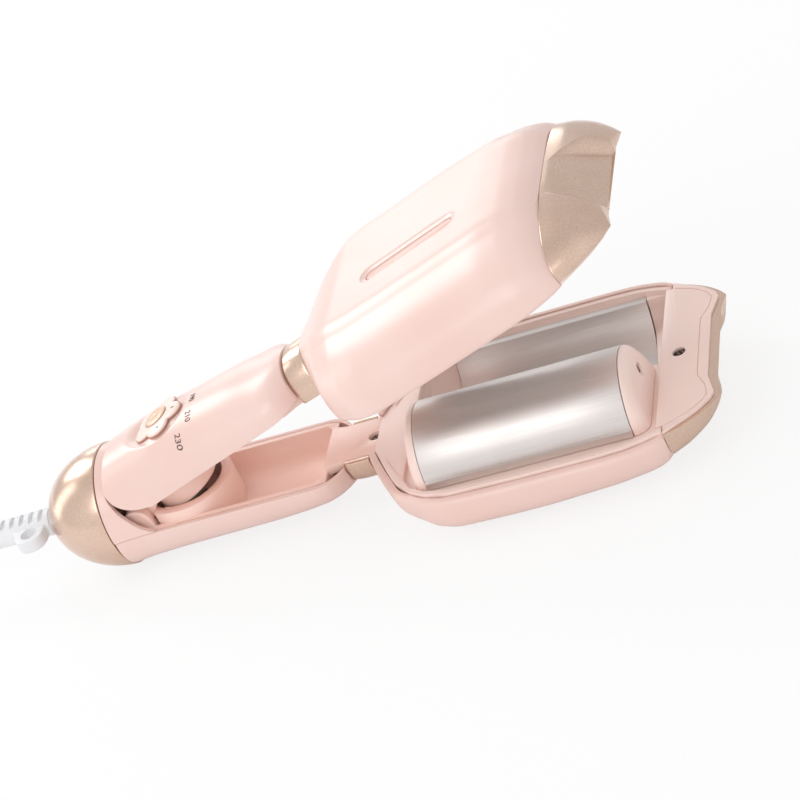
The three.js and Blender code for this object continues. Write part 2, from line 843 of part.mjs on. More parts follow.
function tongue(rim) {
  const half = tongueHalfWidth - gap;
  const from = handleEnd - neckRow - 1;
  const outline = [[from, half + 1.8], [handleEnd - 1, half], [tongueEnd, half]];
  const bottom = tongueTop - tongueThickness;
  return [
    slab([...outline, ...outline.map(([x, y]) => [x, -y]).reverse()], bottom, tongueTop),
    box(from - 2, from + 2, -half - 1, half + 1, Math.min(rim, bottom) - 1.5, bottom + 1),
  ];
}

function ear(innerFace, width, reach) {
  const round = arc(hingeX, 0, earRadius, 0, 345, 23).map(([x, z]) => new THREE.Vector3(x, innerFace, z));
  const both = [...round, ...reach.map(([x, z]) => new THREE.Vector3(x, innerFace, z))];
  const far = both.map((point) => point.clone().setY(innerFace + width));
  return new ConvexGeometry([...both, ...far]);
}

function pinBore() {
  return rod(pinRadius + gap, 2 * handleHalfWidth, 16, 'y').translate(hingeX, 0, 0);
}

function lowerLiner() {
  const { body, channel } = handleTray(lowerHandle, lowerRim, lowerTrayDepth);
  const floor = -lowerTrayDepth - handleWall - gap + trayWall;
  const reach = [[hingeX - earRadius, floor], [hingeX + earRadius + 2, floor]];
  const ears = [
    ear(lowerEarInner, lowerEarWidth, reach),
    ear(-lowerEarInner - lowerEarWidth, lowerEarWidth, reach),
  ];
  const ring = shaped(
    post(bossRadius, bossX, 0, floor - 0.5, bossTop, 36),
    [],
    [
      post(bossRadius - bossWall, bossX, 0, floor - 5, bossTop + 1, 32),
      box(-20, bossCutX, -30, 30, -30, 10),
    ],
  );
  const within = loft(liningSections(lowerHandle).map((part) => ({
    x: part.x,
    outline: openBowl(part.halfWidth - handleWall - gap, part.depth - handleWall - gap,
      part.squareness, lowerRim, 12),
  })));
  const inside = [...ears, ring].map((geometry) => clipped(geometry, within));
  const holes = screwHole(neckScrewX, 0, neckScrewTop);
  const tray = shaped(body, tongue(lowerRim), [channel]);
  return shaped(tray, inside, [pinBore(), ...holes]);
}

// Rear end of the upper handle seen from the side, as distance along and depth
const rearCurve = [[23.4, 4.4], [16.6, 7], [12.6, 10], [10.1, 13.8], [9.4, 17], [10.6, 21], [12.3, 26]];

function rearKeep(drawIn) {
  const outline = rearCurve.map(([x, depth]) => [x + drawIn, -depth]);
  outline.push([tipEnd, -restDepth - 10], [tipEnd, 10], [rearCurve[0][0] + drawIn, 10]);
  return sideSlab(outline, -headHalfWidth, headHalfWidth);
}

function upperLiner() {
  const { body, channel } = handleTray(upperHandle, upperRim, upperTrayDepth);
  const floor = -upperTrayDepth - handleWall - gap + trayWall;
  const outerEar = lowerEarInner - gap;
  const reach = [[19, floor - 1], [27, floor - 1], [27, floor + 3]];
  const ears = [
    ear(outerEar - upperEarWidth, upperEarWidth, reach),
    ear(-outerEar, upperEarWidth, reach),
  ];
  const holes = screwHole(neckScrewX, 0, neckScrewTop);
  const tray = clipped(shaped(body, tongue(upperRim), [channel]), rearKeep(handleWall));
  return shaped(tray, ears, [pinBore(), ...holes, sleeveSeat(), sleeveRecess()]);
}

// Level of the upper tray's floor inside the handle
function upperTrayFloor() {
  return -upperTrayDepth - handleWall - gap + trayWall;
}

function sleeveRecess() {
  return post(sleeveRadius + gap, sleeveX, 0, upperTrayFloor(), overCut, 28);
}

// Way for the leads down through the sleeve's foot and the tray
function sleeveSeat() {
  return post(shaftRadius, sleeveX, 0, -restDepth, overCut, 10);
}

// Sleeve that guides the return spring, standing on the upper tray
function springSleeve() {
  const floor = upperTrayFloor() + gap;
  const tube = post(sleeveRadius, sleeveX, 0, floor, sleeveEnd, 28);
  const bore = post(sleeveRadius - sleeveWall, sleeveX, 0, floor + sleeveWall, sleeveEnd + 1, 24);
  return shaped(tube, [], [bore, sleeveSeat()]);
}

// Solid of revolution standing along Z at the dial, from a closed [radius, depth] profile
function turnedAtDial(profile, sides) {
  const points = profile.map(([radius, depth]) => new THREE.Vector2(radius, -depth));
  const geometry = outward(new THREE.LatheGeometry(points, sides).rotateX(Math.PI / 2));
  return geometry.translate(dialX, 0, 0);
}

// Depth of the dial's domed top at a distance from its centre
function dialDepth(radius) {
  return dialCrown - dialDroop * (radius / dialRadius) ** 2;
}

// Domed slice between two levels below the dial's top
function domeSlice(radius, above, below, sides, steps = 3) {
  const rings = [];
  for (let k = 0; k <= steps; k += 1) {
    rings.push(radius * k / steps);
  }
  return turnedAtDial([
    ...rings.map((at) => [at, dialDepth(at) - above]),
    ...rings.reverse().map((at) => [at, dialDepth(at) - below]),
  ], sides);
}

const dishFloor = dialThickness + dialClearance;
const dishRadius = dialRadius + dialClearance;

function upperShell() {
  const full = handleShell(upperHandle, upperRim, trayStart);
  const cup = clipped(
    domeSlice(dishRadius + dishWall, -dialDroop - 2, dishFloor + dishWall, 24),
    loft(inset(handleSections(upperHandle, trayStart), 0.4, upperRim)),
  );
  const dish = domeSlice(dishRadius, -dialDroop - 6, dishFloor, 24);
  const shaftHole = post(shaftRadius + shaftRoom, dialX, 0, -dialCrown, -handleWall, 16);
  return clipped(shaped(full, [cup], [dish, shaftHole]), rearKeep(0));
}

// Blossom knob: round petals joined around a hub, with the shaft that turns the switch
function dialKnob() {
  const petalRadius = dialRadius * 0.46;
  const orbit = dialRadius - petalRadius;
  const parts = [];
  for (let k = 0; k < petals; k += 1) {
    const turn = THREE.MathUtils.degToRad(firstPetal) + 2 * Math.PI * k / petals;
    parts.push(post(petalRadius, dialX + orbit * Math.cos(turn), orbit * Math.sin(turn),
      -dialCrown - dialDroop, 0, 12));
  }
  const hub = post(discRadius + 2, dialX, 0, -dialCrown - dialDroop, 0, 20);
  const blossom = clipped(shaped(hub, parts), domeSlice(dialRadius + 1, 0, dialThickness, 24));
  const stem = post(shaftRadius, dialX, 0, -dialCrown + 0.6 * dialThickness, -switchTop() - gap, 12);
  const seat = post(discRadius + gap, dialX, 0, -dialCrown - 1, -dialCrown + discThickness, 20);
  return shaped(blossom, [stem], [seat]);
}

function dialDisc() {
  const low = -dialCrown + discThickness - gap * 0.2;
  return post(discRadius, dialX, 0, low - discThickness, low, 20);
}

// Board and switch stack up from the tray's outside to the inside of the shell
function boardBottom() {
  return -upperTrayDepth - handleWall - gap - gap;
}

function boardTop() {
  return boardBottom() - boardThickness;
}

// Top of the switch, just under the dish that the dial sits in
function switchTop() {
  return dialDepth(switchRadius) - dishFloor - dishWall - gap;
}

function controlBoard() {
  return box(boardFrom, boardFrom + boardLength, -boardHalfWidth, boardHalfWidth, boardTop(), boardBottom());
}

function rotarySwitch() {
  return post(switchRadius, dialX, 0, -switchTop(), boardTop() - gap * 0.5, 20);
}

// Lower handle shell, closed at the rear by the dome
function lowerShell() {
  return handleShell(lowerHandle, lowerRim, gap);
}

// Collar over the hinge: upper half ring whose front edge sweeps down to the lower shell
const collarCurve = [[3.2, 30], [3.2, 15], [4.4, 11.6], [9.7, 6.6], [15.1, 3.2], [19, 1.6], [22.5, lowerRim]];

function rearCollar() {
  const round = (radius, x) => ({ x, outline: arc(0, 0, radius, 0, 360 - 15, 23) });
  const outer = loft([round(collarRadius, gap), round(collarRadius - 1, 8), round(handleHalfWidth, 24)]);
  const bore = loft([
    round(collarRadius - collarWall, gap - 1),
    round(collarRadius - 1 - collarWall, 8),
    round(handleHalfWidth - collarWall, 25),
  ]);
  const keep = sideSlab(
    [
      [gap - 1, lowerRim + gap],
      [gap - 1, 30],
      ...collarCurve.map(([x, z]) => [x, Math.max(z, lowerRim + gap)]),
    ],
    -30, 30);
  return shaped(clipped(outer, keep), [], [bore]);
}

function rearDome() {
  const outer = [];
  const inner = [];
  const steps = 7;
  for (let k = 0; k <= steps; k += 1) {
    const turn = Math.PI / 2 * k / steps;
    outer.push([-domeLength * Math.sin(turn), domeRadius * Math.cos(turn)]);
    inner.push([-(domeLength - domeWall) * Math.sin(turn), (domeRadius - domeWall) * Math.cos(turn)]);
  }
  const bore = swivelRadius + gap;
  const keptOuter = outer.filter(([, radius]) => radius > bore);
  const keptInner = inner.filter(([, radius]) => radius > bore);
  const rear = -domeLength * Math.sqrt(1 - (bore / domeRadius) ** 2);
  const rearInner = -(domeLength - domeWall) * Math.sqrt(1 - (bore / (domeRadius - domeWall)) ** 2);
  const profile = [...keptOuter, [rear, bore], [rearInner, bore], ...keptInner.reverse()];
  return turned([...profile, profile[0]], 28);
}

// Swivelling strain relief: flange inside the dome, neck through it, ribbed boot and hanging loop
function strainRelief() {
  const share = swivelFlangeRadius / (domeRadius - domeWall);
  const innerFace = -(domeLength - domeWall) * Math.sqrt(1 - share ** 2);
  const flangeBack = innerFace + gap;
  const bootStart = -domeLength - gap;
  const bootEnd = bootStart - bootLength;
  const edge = swivelFlangeRadius - 1;
  const profile = [
    [flangeBack + swivelFlangeThickness, 0],
    [flangeBack + swivelFlangeThickness, edge],
    [flangeBack, edge],
    [flangeBack, swivelRadius],
    [bootStart, swivelRadius],
    [bootStart, bootRadius],
    [bootEnd, bootTipRadius],
    [bootEnd, 0],
  ];
  const boot = turned(profile.reverse(), 16);
  const notches = [];
  for (let k = 0; k < bootNotches; k += 1) {
    const from = bootStart - bootNotchFirst - bootNotchPitch * k;
    const to = from + bootNotchLength;
    const level = bootRadius - bootNotchDepth;
    notches.push(box(from, to, -bootRadius, bootRadius, level, bootRadius + 1));
    notches.push(box(from, to, -bootRadius, bootRadius, -bootRadius - 1, -level));
  }
  const holeY = -bootRadius + 0.6 - loopHoleRadius;
  const tab = [
    ...arc(loopX, holeY, loopTabRadius, 190, 360, 14),
    [loopX + loopTabRadius, 0], [loopX - loopTabRadius - loopTabFlare, 0],
  ];
  const half = loopTabThickness / 2;
  const hole = post(loopHoleRadius, loopX, holeY, -half - 1, half + 1, 16);
  return shaped(boot, [slab(tab, -half, half)], [...notches, hole]);
}

function hingePin() {
  return rod(pinRadius, 2 * pinHalfLength, 16, 'y').translate(hingeX, 0, 0);
}

// Tube of straight-sided section swept along a curve
function sweep(curve, radius, sides, steps) {
  const ring = new THREE.Shape(arc(0, 0, radius, 0, 360 - 360 / sides, sides - 1)
    .map(([u, v]) => new THREE.Vector2(u, v)));
  return outward(new THREE.ExtrudeGeometry(ring, { steps, extrudePath: curve, bevelEnabled: false }));
}

function throughPoints(points) {
  return new THREE.CatmullRomCurve3(points.map(([x, y, z]) => new THREE.Vector3(x, y, z)));
}

// Compression spring with its ends on the lower tray and under the upper tray
const springFoot = -lowerTrayDepth - handleWall - gap + trayWall + gap;
const springHead = upperSeatHeight() - gap;

function upperSeatHeight() {
  const seat = upperTrayDepth + handleWall + gap - trayWall - gap - sleeveWall;
  const rear = springX - springRadius - springWire;
  const along = (rear - hingeX + seat * Math.sin(openTurn)) / Math.cos(openTurn);
  return along * Math.sin(openTurn) + seat * Math.cos(openTurn);
}

function returnSpring() {
  const stepsPerTurn = 8;
  const points = [];
  const low = springFoot + springWire;
  const high = springHead - springWire;
  for (let k = 0; k <= springTurns * stepsPerTurn; k += 1) {
    const turn = 2 * Math.PI * k / stepsPerTurn;
    points.push([springX + springRadius * Math.cos(turn), springRadius * Math.sin(turn),
      low + (high - low) * k / (springTurns * stepsPerTurn)]);
  }
  return sweep(throughPoints(points), springWire, 5, springTurns * stepsPerTurn);
}

// Cord: straight out of the strain relief, down to the floor, then into the coil
const cordStartX = -domeLength - gap - bootLength - gap;
const coilBottom = floorZ + coilLift + cordRadius;

function powerCord() {
  const route = throughPoints([
    [cordStartX, 0, 0],
    [-92, 0, -0.6],
    [-112, 0, -7.5],
    [-130, 0, -15.6],
    [-144, 0, coilBottom + 0.3],
    [coilStartX, 0, coilBottom],
  ]);
  return sweep(route, cordRadius, cordSides, cordSteps);
}

// Centre line of the coil: inwards on the floor layer, up while it reverses, then outwards
class CoilLine extends THREE.Curve {
  getPoint(share, target = new THREE.Vector3()) {
    const lead = 2 * cordRadius;
    const whole = coilLength();
    const at = share * (whole + 2 * lead);
    const startX = coilStartX - gap;
    if (at < lead) {
      return target.set(startX - at, 0, coilBottom);
    }
    if (at > whole + lead) {
      const end = coilAt(1);
      return target.set(end.x - (at - whole - lead), end.y, end.z);
    }
    return target.copy(coilAt(coilShare((at - lead) / whole)));
  }
}

function coilAt(share) {
  const half = coilTurns / 2;
  const turn = share * coilTurns;
  const climbFrom = half - 0.25;
  const climb = THREE.MathUtils.clamp((turn - climbFrom) / 0.5, 0, 1);
  const inward = Math.min(turn, half);
  const outwardTurns = Math.max(turn - half, 0);
  const radius = coilOuterRadius - coilPitch * inward + coilPitch * outwardTurns;
  const angle = -Math.PI / 2 - 2 * Math.PI * turn;
  const rise = climb * climb * (3 - 2 * climb);
  return new THREE.Vector3(
    coilStartX - gap - 2 * cordRadius + radius * Math.cos(angle),
    coilOuterRadius + radius * Math.sin(angle),
    coilBottom + coilPitch * rise,
  );
}

// Arc length table of the coil, so that its steps are even
const coilTable = [0];
const tableSteps = 2000;
for (let k = 1; k <= tableSteps; k += 1) {
  coilTable.push(coilTable[k - 1] + coilAt(k / tableSteps).distanceTo(coilAt((k - 1) / tableSteps)));
}

function coilLength() {
  return coilTable[tableSteps];
}

function coilShare(part) {
  const wanted = part * coilTable[tableSteps];
  let low = 0;
  let high = tableSteps;
  while (high - low > 1) {
    const middle = (low + high) >> 1;
    if (coilTable[middle] < wanted) {
      low = middle;
    } else {
      high = middle;
    }
  }
  const span = coilTable[high] - coilTable[low];
  return (low + (wanted - coilTable[low]) / span) / tableSteps;
}

function cordCoil() {
  return sweep(new CoilLine(), cordRadius, coilSides, coilTurns * coilStepsPerTurn);
}

// Least distance between tube surfaces of turns that aren't next to each other along the coil
function coilSelfGap() {
  const line = new CoilLine();
  const count = 900;
  const points = [];
  for (let k = 0; k <= count; k += 1) {
    points.push(line.getPoint(k / count));
  }
  const skip = Math.ceil(count / coilTurns / 4);
  let least = Infinity;
  for (let i = 0; i <= count; i += 1) {
    for (let j = i + skip; j <= count; j += 1) {
      least = Math.min(least, points[i].distanceTo(points[j]));
    }
  }
  return least - 2 * cordRadius;
}

function cordTie() {
  const centreX = coilStartX - gap - 2 * cordRadius;
  const innermost = coilOuterRadius - coilPitch * (coilTurns / 2) - cordRadius - tieRoom;
  const outermost = coilOuterRadius + cordRadius + tieRoom;
  const low = coilBottom - cordRadius - gap;
  const high = coilBottom + coilPitch + cordRadius + gap;
  const from = centreX - tieWidth / 2;
  const to = centreX + tieWidth / 2;
  const middle = coilOuterRadius;
  const outer = box(from, to, middle + innermost - tieThickness, middle + outermost + tieThickness,
    low - tieThickness, high + tieThickness);
  const inner = box(from - 1, to + 1, middle + innermost, middle + outermost, low, high);
  return shaped(outer, [], [inner]);
}

const coilEndPoint = coilAt(1);
const tailStartX = coilEndPoint.x - 2 * cordRadius - gap;
const tailEndX = tailStartX - tailLength;
const plugZ = floorZ + plugHalfThickness;

function plugCord() {
  const route = throughPoints([
    [tailStartX, coilEndPoint.y, coilEndPoint.z],
    [tailStartX - tailLength * 0.3, coilEndPoint.y, coilEndPoint.z - 0.2],
    [tailStartX - tailLength * 0.7, coilEndPoint.y, plugZ + 0.2],
    [tailEndX, coilEndPoint.y, plugZ],
  ]);
  return sweep(route, cordRadius, cordSides, 7);
}

function plugBody() {
  const from = tailEndX - gap;
  const section = (x, half, thick) => ({
    x,
    outline: [[half - 3, -thick], [half, -thick * 0.4], [half, thick * 0.4], [half - 3, thick],
      [-half + 3, thick], [-half, thick * 0.4], [-half, -thick * 0.4], [-half + 3, -thick]],
  });
  const rear = cordRadius + 2;
  const body = loft([
    section(from, rear + 1, rear),
    section(from - plugTaper, plugHalfWidth, plugHalfThickness),
    section(from - plugLength, plugHalfWidth, plugHalfThickness),
  ].reverse());
  return body.translate(0, coilEndPoint.y, plugZ);
}

function plugPin(side) {
  const from = tailEndX - gap - plugLength - gap;
  return rod(plugPinRadius, plugPinLength, 12, 'x')
    .translate(from - plugPinLength / 2, coilEndPoint.y + side * plugPinSpacing / 2, plugZ);
}

// The pieces that both arms have
function armPieces(side) {
  return [
    piece(`${side}_head_shell`, headShell(), 'shell'),
    piece(`${side}_neck_ring`, neckRing(), 'gold'),
    piece(`${side}_tip_cap`, tipCap(), 'gold'),
    piece(`${side}_head_frame`, headFrame(), 'shell'),
    piece(`${side}_barrel`, barrel(), 'plate'),
    piece(`${side}_groove_plate`, groovePlate(), 'plate'),
    piece(`${side}_barrel_cap_front`, barrelCap(plateTo + gap, capFrontLength, true), 'shell'),
    piece(`${side}_barrel_cap_rear`, barrelCap(plateFrom - gap, -capRearLength, false), 'shell'),
    piece(`${side}_cap_screw`, capScrew(), 'steel'),
    piece(`${side}_barrel_heater`, barrelHeater(), 'alloy'),
    piece(`${side}_barrel_clip`, barrelClip(), 'steel'),
    piece(`${side}_groove_heater`, grooveHeater(), 'alloy'),
    piece(`${side}_groove_clip`, grooveClip(), 'steel'),
    piece(`${side}_neck_screw`, screw(neckScrewX, 0, neckScrewTop), 'steel'),
    piece(`${side}_tip_screw`, screw(tipScrewX, 0, tipScrewTop), 'steel'),
  ];
}

function thermalFuse() {
  const centreX = plateFrom + heaterInset + fuseLength;
  return rod(fuseRadius, fuseLength, 12, 'x')
    .translate(centreX, barrelY, barrelHeaterBottom() - gap - fuseRadius);
}

const lowerArm = new THREE.Group();
lowerArm.add(
  piece('lower_handle_shell', lowerShell(), 'shell'),
  piece('lower_handle_liner', lowerLiner(), 'inner'),
  ...armPieces('lower'),
  piece('thermal_fuse', thermalFuse(), 'steel'),
  piece('rear_collar', rearCollar(), 'shell'),
  piece('rear_dome', rearDome(), 'gold'),
  piece('hinge_pin', hingePin(), 'steel'),
  piece('return_spring', returnSpring(), 'steel'),
  piece('swivel_strain_relief', strainRelief(), 'cord'),
);

// The upper arm is the lower one turned over about X, then opened about the hinge
const turnedOver = new THREE.Group();
turnedOver.rotation.x = Math.PI;
turnedOver.position.x = -hingeX;
turnedOver.add(
  piece('upper_handle_shell', upperShell(), 'shell'),
  piece('upper_handle_liner', upperLiner(), 'inner'),
  ...armPieces('upper'),
  piece('spring_sleeve', springSleeve(), 'inner'),
  piece('control_board', controlBoard(), 'board'),
  piece('rotary_switch', rotarySwitch(), 'dark'),
  piece('dial_knob', dialKnob(), 'shell'),
  piece('dial_disc', dialDisc(), 'gold'),
);
const upperArm = new THREE.Group();
upperArm.position.x = hingeX;
upperArm.rotation.y = -openTurn;
upperArm.add(turnedOver);

const cord = new THREE.Group();
cord.add(
  piece('power_cord', powerCord(), 'cord'),
  piece('cord_coil', cordCoil(), 'cord'),
  piece('cord_tie', cordTie(), 'dark'),
  piece('plug_cord', plugCord(), 'cord'),
  piece('plug_body', plugBody(), 'cord'),
  piece('plug_pin_near', plugPin(-1), 'steel'),
  piece('plug_pin_far', plugPin(1), 'steel'),
);
console.log('least gap between turns of the coil', coilSelfGap().toFixed(2), 'mm');
console.log('cord length in the coil', coilLength().toFixed(0), 'mm');

// The origin is at the bottom centre of the curler without its cord
const curler = new THREE.Group();
curler.add(lowerArm, upperArm);
curler.updateMatrixWorld(true);
const bounds = new THREE.Box3().setFromObject(curler, true);
const whole = new THREE.Group();
whole.add(curler, cord);
whole.position.set(
  -(bounds.min.x + bounds.max.x) / 2,
  -(bounds.min.y + bounds.max.y) / 2,
  -bounds.min.z,
);

export default whole;
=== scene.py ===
from math import acos, asin, cos, pi, radians, sin, sqrt
import bpy
import bmesh
import numpy as np
from mathutils import Matrix, Vector


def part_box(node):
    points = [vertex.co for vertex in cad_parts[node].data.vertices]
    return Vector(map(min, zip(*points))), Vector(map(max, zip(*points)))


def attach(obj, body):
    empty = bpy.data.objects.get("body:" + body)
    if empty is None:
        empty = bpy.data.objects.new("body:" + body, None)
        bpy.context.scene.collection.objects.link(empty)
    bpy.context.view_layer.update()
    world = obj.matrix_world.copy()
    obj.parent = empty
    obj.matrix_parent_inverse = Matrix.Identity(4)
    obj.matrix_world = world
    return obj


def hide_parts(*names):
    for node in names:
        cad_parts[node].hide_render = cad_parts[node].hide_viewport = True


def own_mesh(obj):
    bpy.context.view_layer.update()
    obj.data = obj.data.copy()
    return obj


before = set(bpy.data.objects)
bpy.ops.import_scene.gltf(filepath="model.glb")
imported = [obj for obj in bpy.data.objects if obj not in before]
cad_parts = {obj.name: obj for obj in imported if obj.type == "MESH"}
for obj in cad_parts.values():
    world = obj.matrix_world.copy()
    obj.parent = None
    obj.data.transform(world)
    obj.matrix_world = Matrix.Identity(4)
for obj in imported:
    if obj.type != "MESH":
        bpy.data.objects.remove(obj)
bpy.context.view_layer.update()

scene = bpy.context.scene

# Both arms are drawn lying along X in millimetres, with z = 0 where the jaws meet and the
# outside of the arm below it. The upper arm is the same mouldings turned over and opened.
arm = {
    "restDepth": 24.0, "openAngle": 18.47, "hingeX": 10.0, "handleEnd": 91.2, "ringStart": 91.5,
    "ringEnd": 101.5, "headStart": 101.8, "headEnd": 213.8, "tipStart": 214.1, "tipEnd": 234.4,
    "plateFrom": 127.6, "plateTo": 203.2,
}
armShift = Vector((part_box("lower_barrel")[0].x * 1000 - arm["plateFrom"], 0, arm["restDepth"]))
lowerPlace = Matrix.Scale(0.001, 4) @ Matrix.Translation(armShift)
upperPlace = (
    lowerPlace
    @ Matrix.Translation((arm["hingeX"], 0, 0))
    @ Matrix.Rotation(-radians(arm["openAngle"]), 4, "Y")
    @ Matrix.Translation((-arm["hingeX"], 0, 0))
    @ Matrix.Rotation(pi, 4, "X")
)
places = {"lower": lowerPlace, "swivel": lowerPlace, "upper": upperPlace, "dial": upperPlace}
bodies = {"lower": "base", "swivel": "swivel", "upper": "upper_arm", "dial": "dial"}


# Camera at the photograph's angle
camera = {
    "eye": (427.57, -777.44, 497.70),
    "right": (0.91328, 0.12100, -0.38896),
    "up": (0.25141, 0.58386, 0.77196),
    "back": (0.320506, -0.802788, 0.502799),
    "lens": 122.385,
}


def placeCamera():
    data = bpy.data.cameras.new("camera")
    data.lens = camera["lens"]
    data.sensor_width = 36
    data.clip_start = 0.05
    data.clip_end = 20
    view = bpy.data.objects.new("camera", data)
    scene.collection.objects.link(view)
    turn = Matrix((camera["right"], camera["up"], camera["back"])).transposed()
    view.matrix_world = Matrix.Translation((Vector(camera["eye"]) + armShift) * 0.001) @ turn.to_4x4()
    scene.camera = view


# Node trees as expressions: a Wire is one output socket
class Wire:
    def __init__(self, tree, socket):
        self.tree = tree
        self.socket = socket

    def math(self, operation, first, second):
        return addNode(self.tree, "ShaderNodeMath", {0: first, 1: second}, operation=operation)

    def __add__(self, other):
        return self.math("ADD", self, other)

    def __rsub__(self, other):
        return self.math("SUBTRACT", other, self)

    def __mul__(self, other):
        return self.math("MULTIPLY", self, other)

    def __truediv__(self, other):
        return self.math("DIVIDE", self, other)


def addNode(tree, kind, inputs=None, output=0, **settings):
    # A list as an input is linked part by part
    node = tree.nodes.new(kind)
    for key, value in settings.items():
        setattr(node, key, value)
    for key, value in (inputs or {}).items():
        for part in value if isinstance(value, list) else [value]:
            if isinstance(part, Wire):
                tree.links.new(part.socket, node.inputs[key])
            else:
                node.inputs[key].default_value = part
    return Wire(tree, node.outputs[output]) if node.outputs else node


def srgb(red, green, blue):
    def linear(value):
        value /= 255
        return value / 12.92 if value <= 0.04045 else ((value + 0.055) / 1.055) ** 2.4
    return (linear(red), linear(green), linear(blue), 1)


def makeMaterial(name, build, *values):
    material = bpy.data.materials.new(name)
    material.use_nodes = True
    material.diffuse_color = (0.8, 0.7, 0.65, 1)
    tree = material.node_tree
    tree.nodes.clear()
    values = [srgb(*value) if isinstance(value, tuple) else value for value in values]
    addNode(tree, "ShaderNodeOutputMaterial", {"Surface": build(tree, *values)})
    return material


def principled(tree, inputs):
    return addNode(tree, "ShaderNodeBsdfPrincipled", inputs)


def noise(tree, scale, detail, stretch=None):
    where = addNode(tree, "ShaderNodeTexCoord", output=3)
    if stretch:
        where = addNode(tree, "ShaderNodeMapping", {"Vector": where, "Scale": stretch})
    return addNode(tree, "ShaderNodeTexNoise",
                   {"Vector": where, "Scale": scale, "Detail": detail, "Roughness": 0.55})


def spread(value, low, high, toLow, toHigh):
    return addNode(value.tree, "ShaderNodeMapRange", {
        "Value": value, "From Min": low, "From Max": high, "To Min": toLow, "To Max": toHigh})


def blotch(tree, scale, detail, low=0.35, high=0.65):
    return spread(noise(tree, scale, detail), low, high, 0, 1)


def mixColour(share, first, second):
    return addNode(share.tree, "ShaderNodeMix", {0: share, 6: first, 7: second}, 2, data_type="RGBA")


def bump(height, strength):
    return addNode(height.tree, "ShaderNodeBump",
                   {"Height": height, "Strength": strength, "Distance": 0.0001})


def mouldedPlastic(tree, colour, deeper, rough, coat):
    # Slow drift of colour, faint cloudiness in the gloss, fine orange peel
    return principled(tree, {
        "Base Color": mixColour(blotch(tree, 22, 2), colour, deeper),
        "Roughness": spread(noise(tree, 140, 4), 0.3, 0.7, rough - 0.035, rough + 0.045),
        "IOR": 1.5,
        "Coat Weight": coat,
        "Coat Roughness": 0.24,
        "Normal": bump(noise(tree, 1500, 2), 0.012),
    })


def champagneMetal(tree, colour, deeper, rough):
    # Metallised coating: fine flake in the colour and the gloss, a little unevenness below it
    flake = noise(tree, 1500, 2)
    drift = blotch(tree, 60, 3)
    tone = mixColour(spread(flake, 0.35, 0.65, 0, 0.35), colour, deeper)
    return principled(tree, {
        "Base Color": mixColour(drift * 0.25, tone, deeper),
        "Metallic": 0.92,
        "Roughness": spread(flake + drift * 0.3, 0.4, 0.9, rough - 0.02, rough + 0.03),
        "Coat Weight": 0.25,
        "Coat Roughness": 0.15,
        "Normal": bump(flake, 0.006),
    })


def brushedPlate(tree, colour, deeper, rough):
    # Coated heating plate: grain drawn along the barrel, faint speckle of the coating
    grain = noise(tree, 420, 3, (0.1, 6, 6))
    speckle = noise(tree, 3200, 2)
    tone = mixColour(spread(grain, 0.3, 0.7, 0, 0.5), colour, deeper)
    return principled(tree, {
        "Base Color": mixColour(blotch(tree, 45, 3) * 0.25, tone, deeper),
        "Metallic": 0.88,
        "Roughness": spread(grain + speckle * 0.5, 0.5, 1.0, rough - 0.05, rough + 0.07),
        "Normal": bump(grain * 0.4 + speckle * 0.6, 0.04),
    })


def wornSteel(tree, colour, rough):
    scuff = noise(tree, 900, 5)
    stained = (colour[0] * 0.6, colour[1] * 0.58, colour[2] * 0.55, 1)
    return principled(tree, {
        "Base Color": mixColour(blotch(tree, 160, 3, 0.35, 0.7) * 0.4, colour, stained),
        "Metallic": 1.0,
        "Roughness": spread(scuff, 0.3, 0.7, rough - 0.06, rough + 0.1),
        "Normal": bump(scuff, 0.08),
    })


def cordPlastic(tree, colour, deeper):
    fine = noise(tree, 1900, 3)
    return principled(tree, {
        "Base Color": mixColour(blotch(tree, 120, 4, 0.4, 0.75) * 0.6, colour, deeper),
        "Roughness": spread(fine, 0.3, 0.7, 0.36, 0.5),
        "IOR": 1.48,
        "Normal": bump(fine, 0.06),
    })


def circuitBoard(tree):
    tracks = addNode(tree, "ShaderNodeTexBrick", {
        "Vector": addNode(tree, "ShaderNodeTexCoord", output=3), "Scale": 240.0, "Mortar Size": 0.03,
        "Color1": srgb(38, 92, 58), "Color2": srgb(32, 80, 50), "Mortar": srgb(120, 128, 80)})
    gloss = spread(noise(tree, 700, 3), 0.3, 0.7, 0.35, 0.6)
    return principled(tree, {"Base Color": tracks, "Roughness": gloss})


# Ink for the printed marks; the same recipe also paints the shadow line round the petals
def printAndShadowInk(tree, colour):
    wear = noise(tree, 1800, 3)
    return principled(tree, {
        "Base Color": mixColour(spread(wear, 0.4, 0.8, 0, 0.5), colour, srgb(150, 128, 122)),
        "Roughness": spread(wear, 0.3, 0.7, 0.45, 0.6),
    })


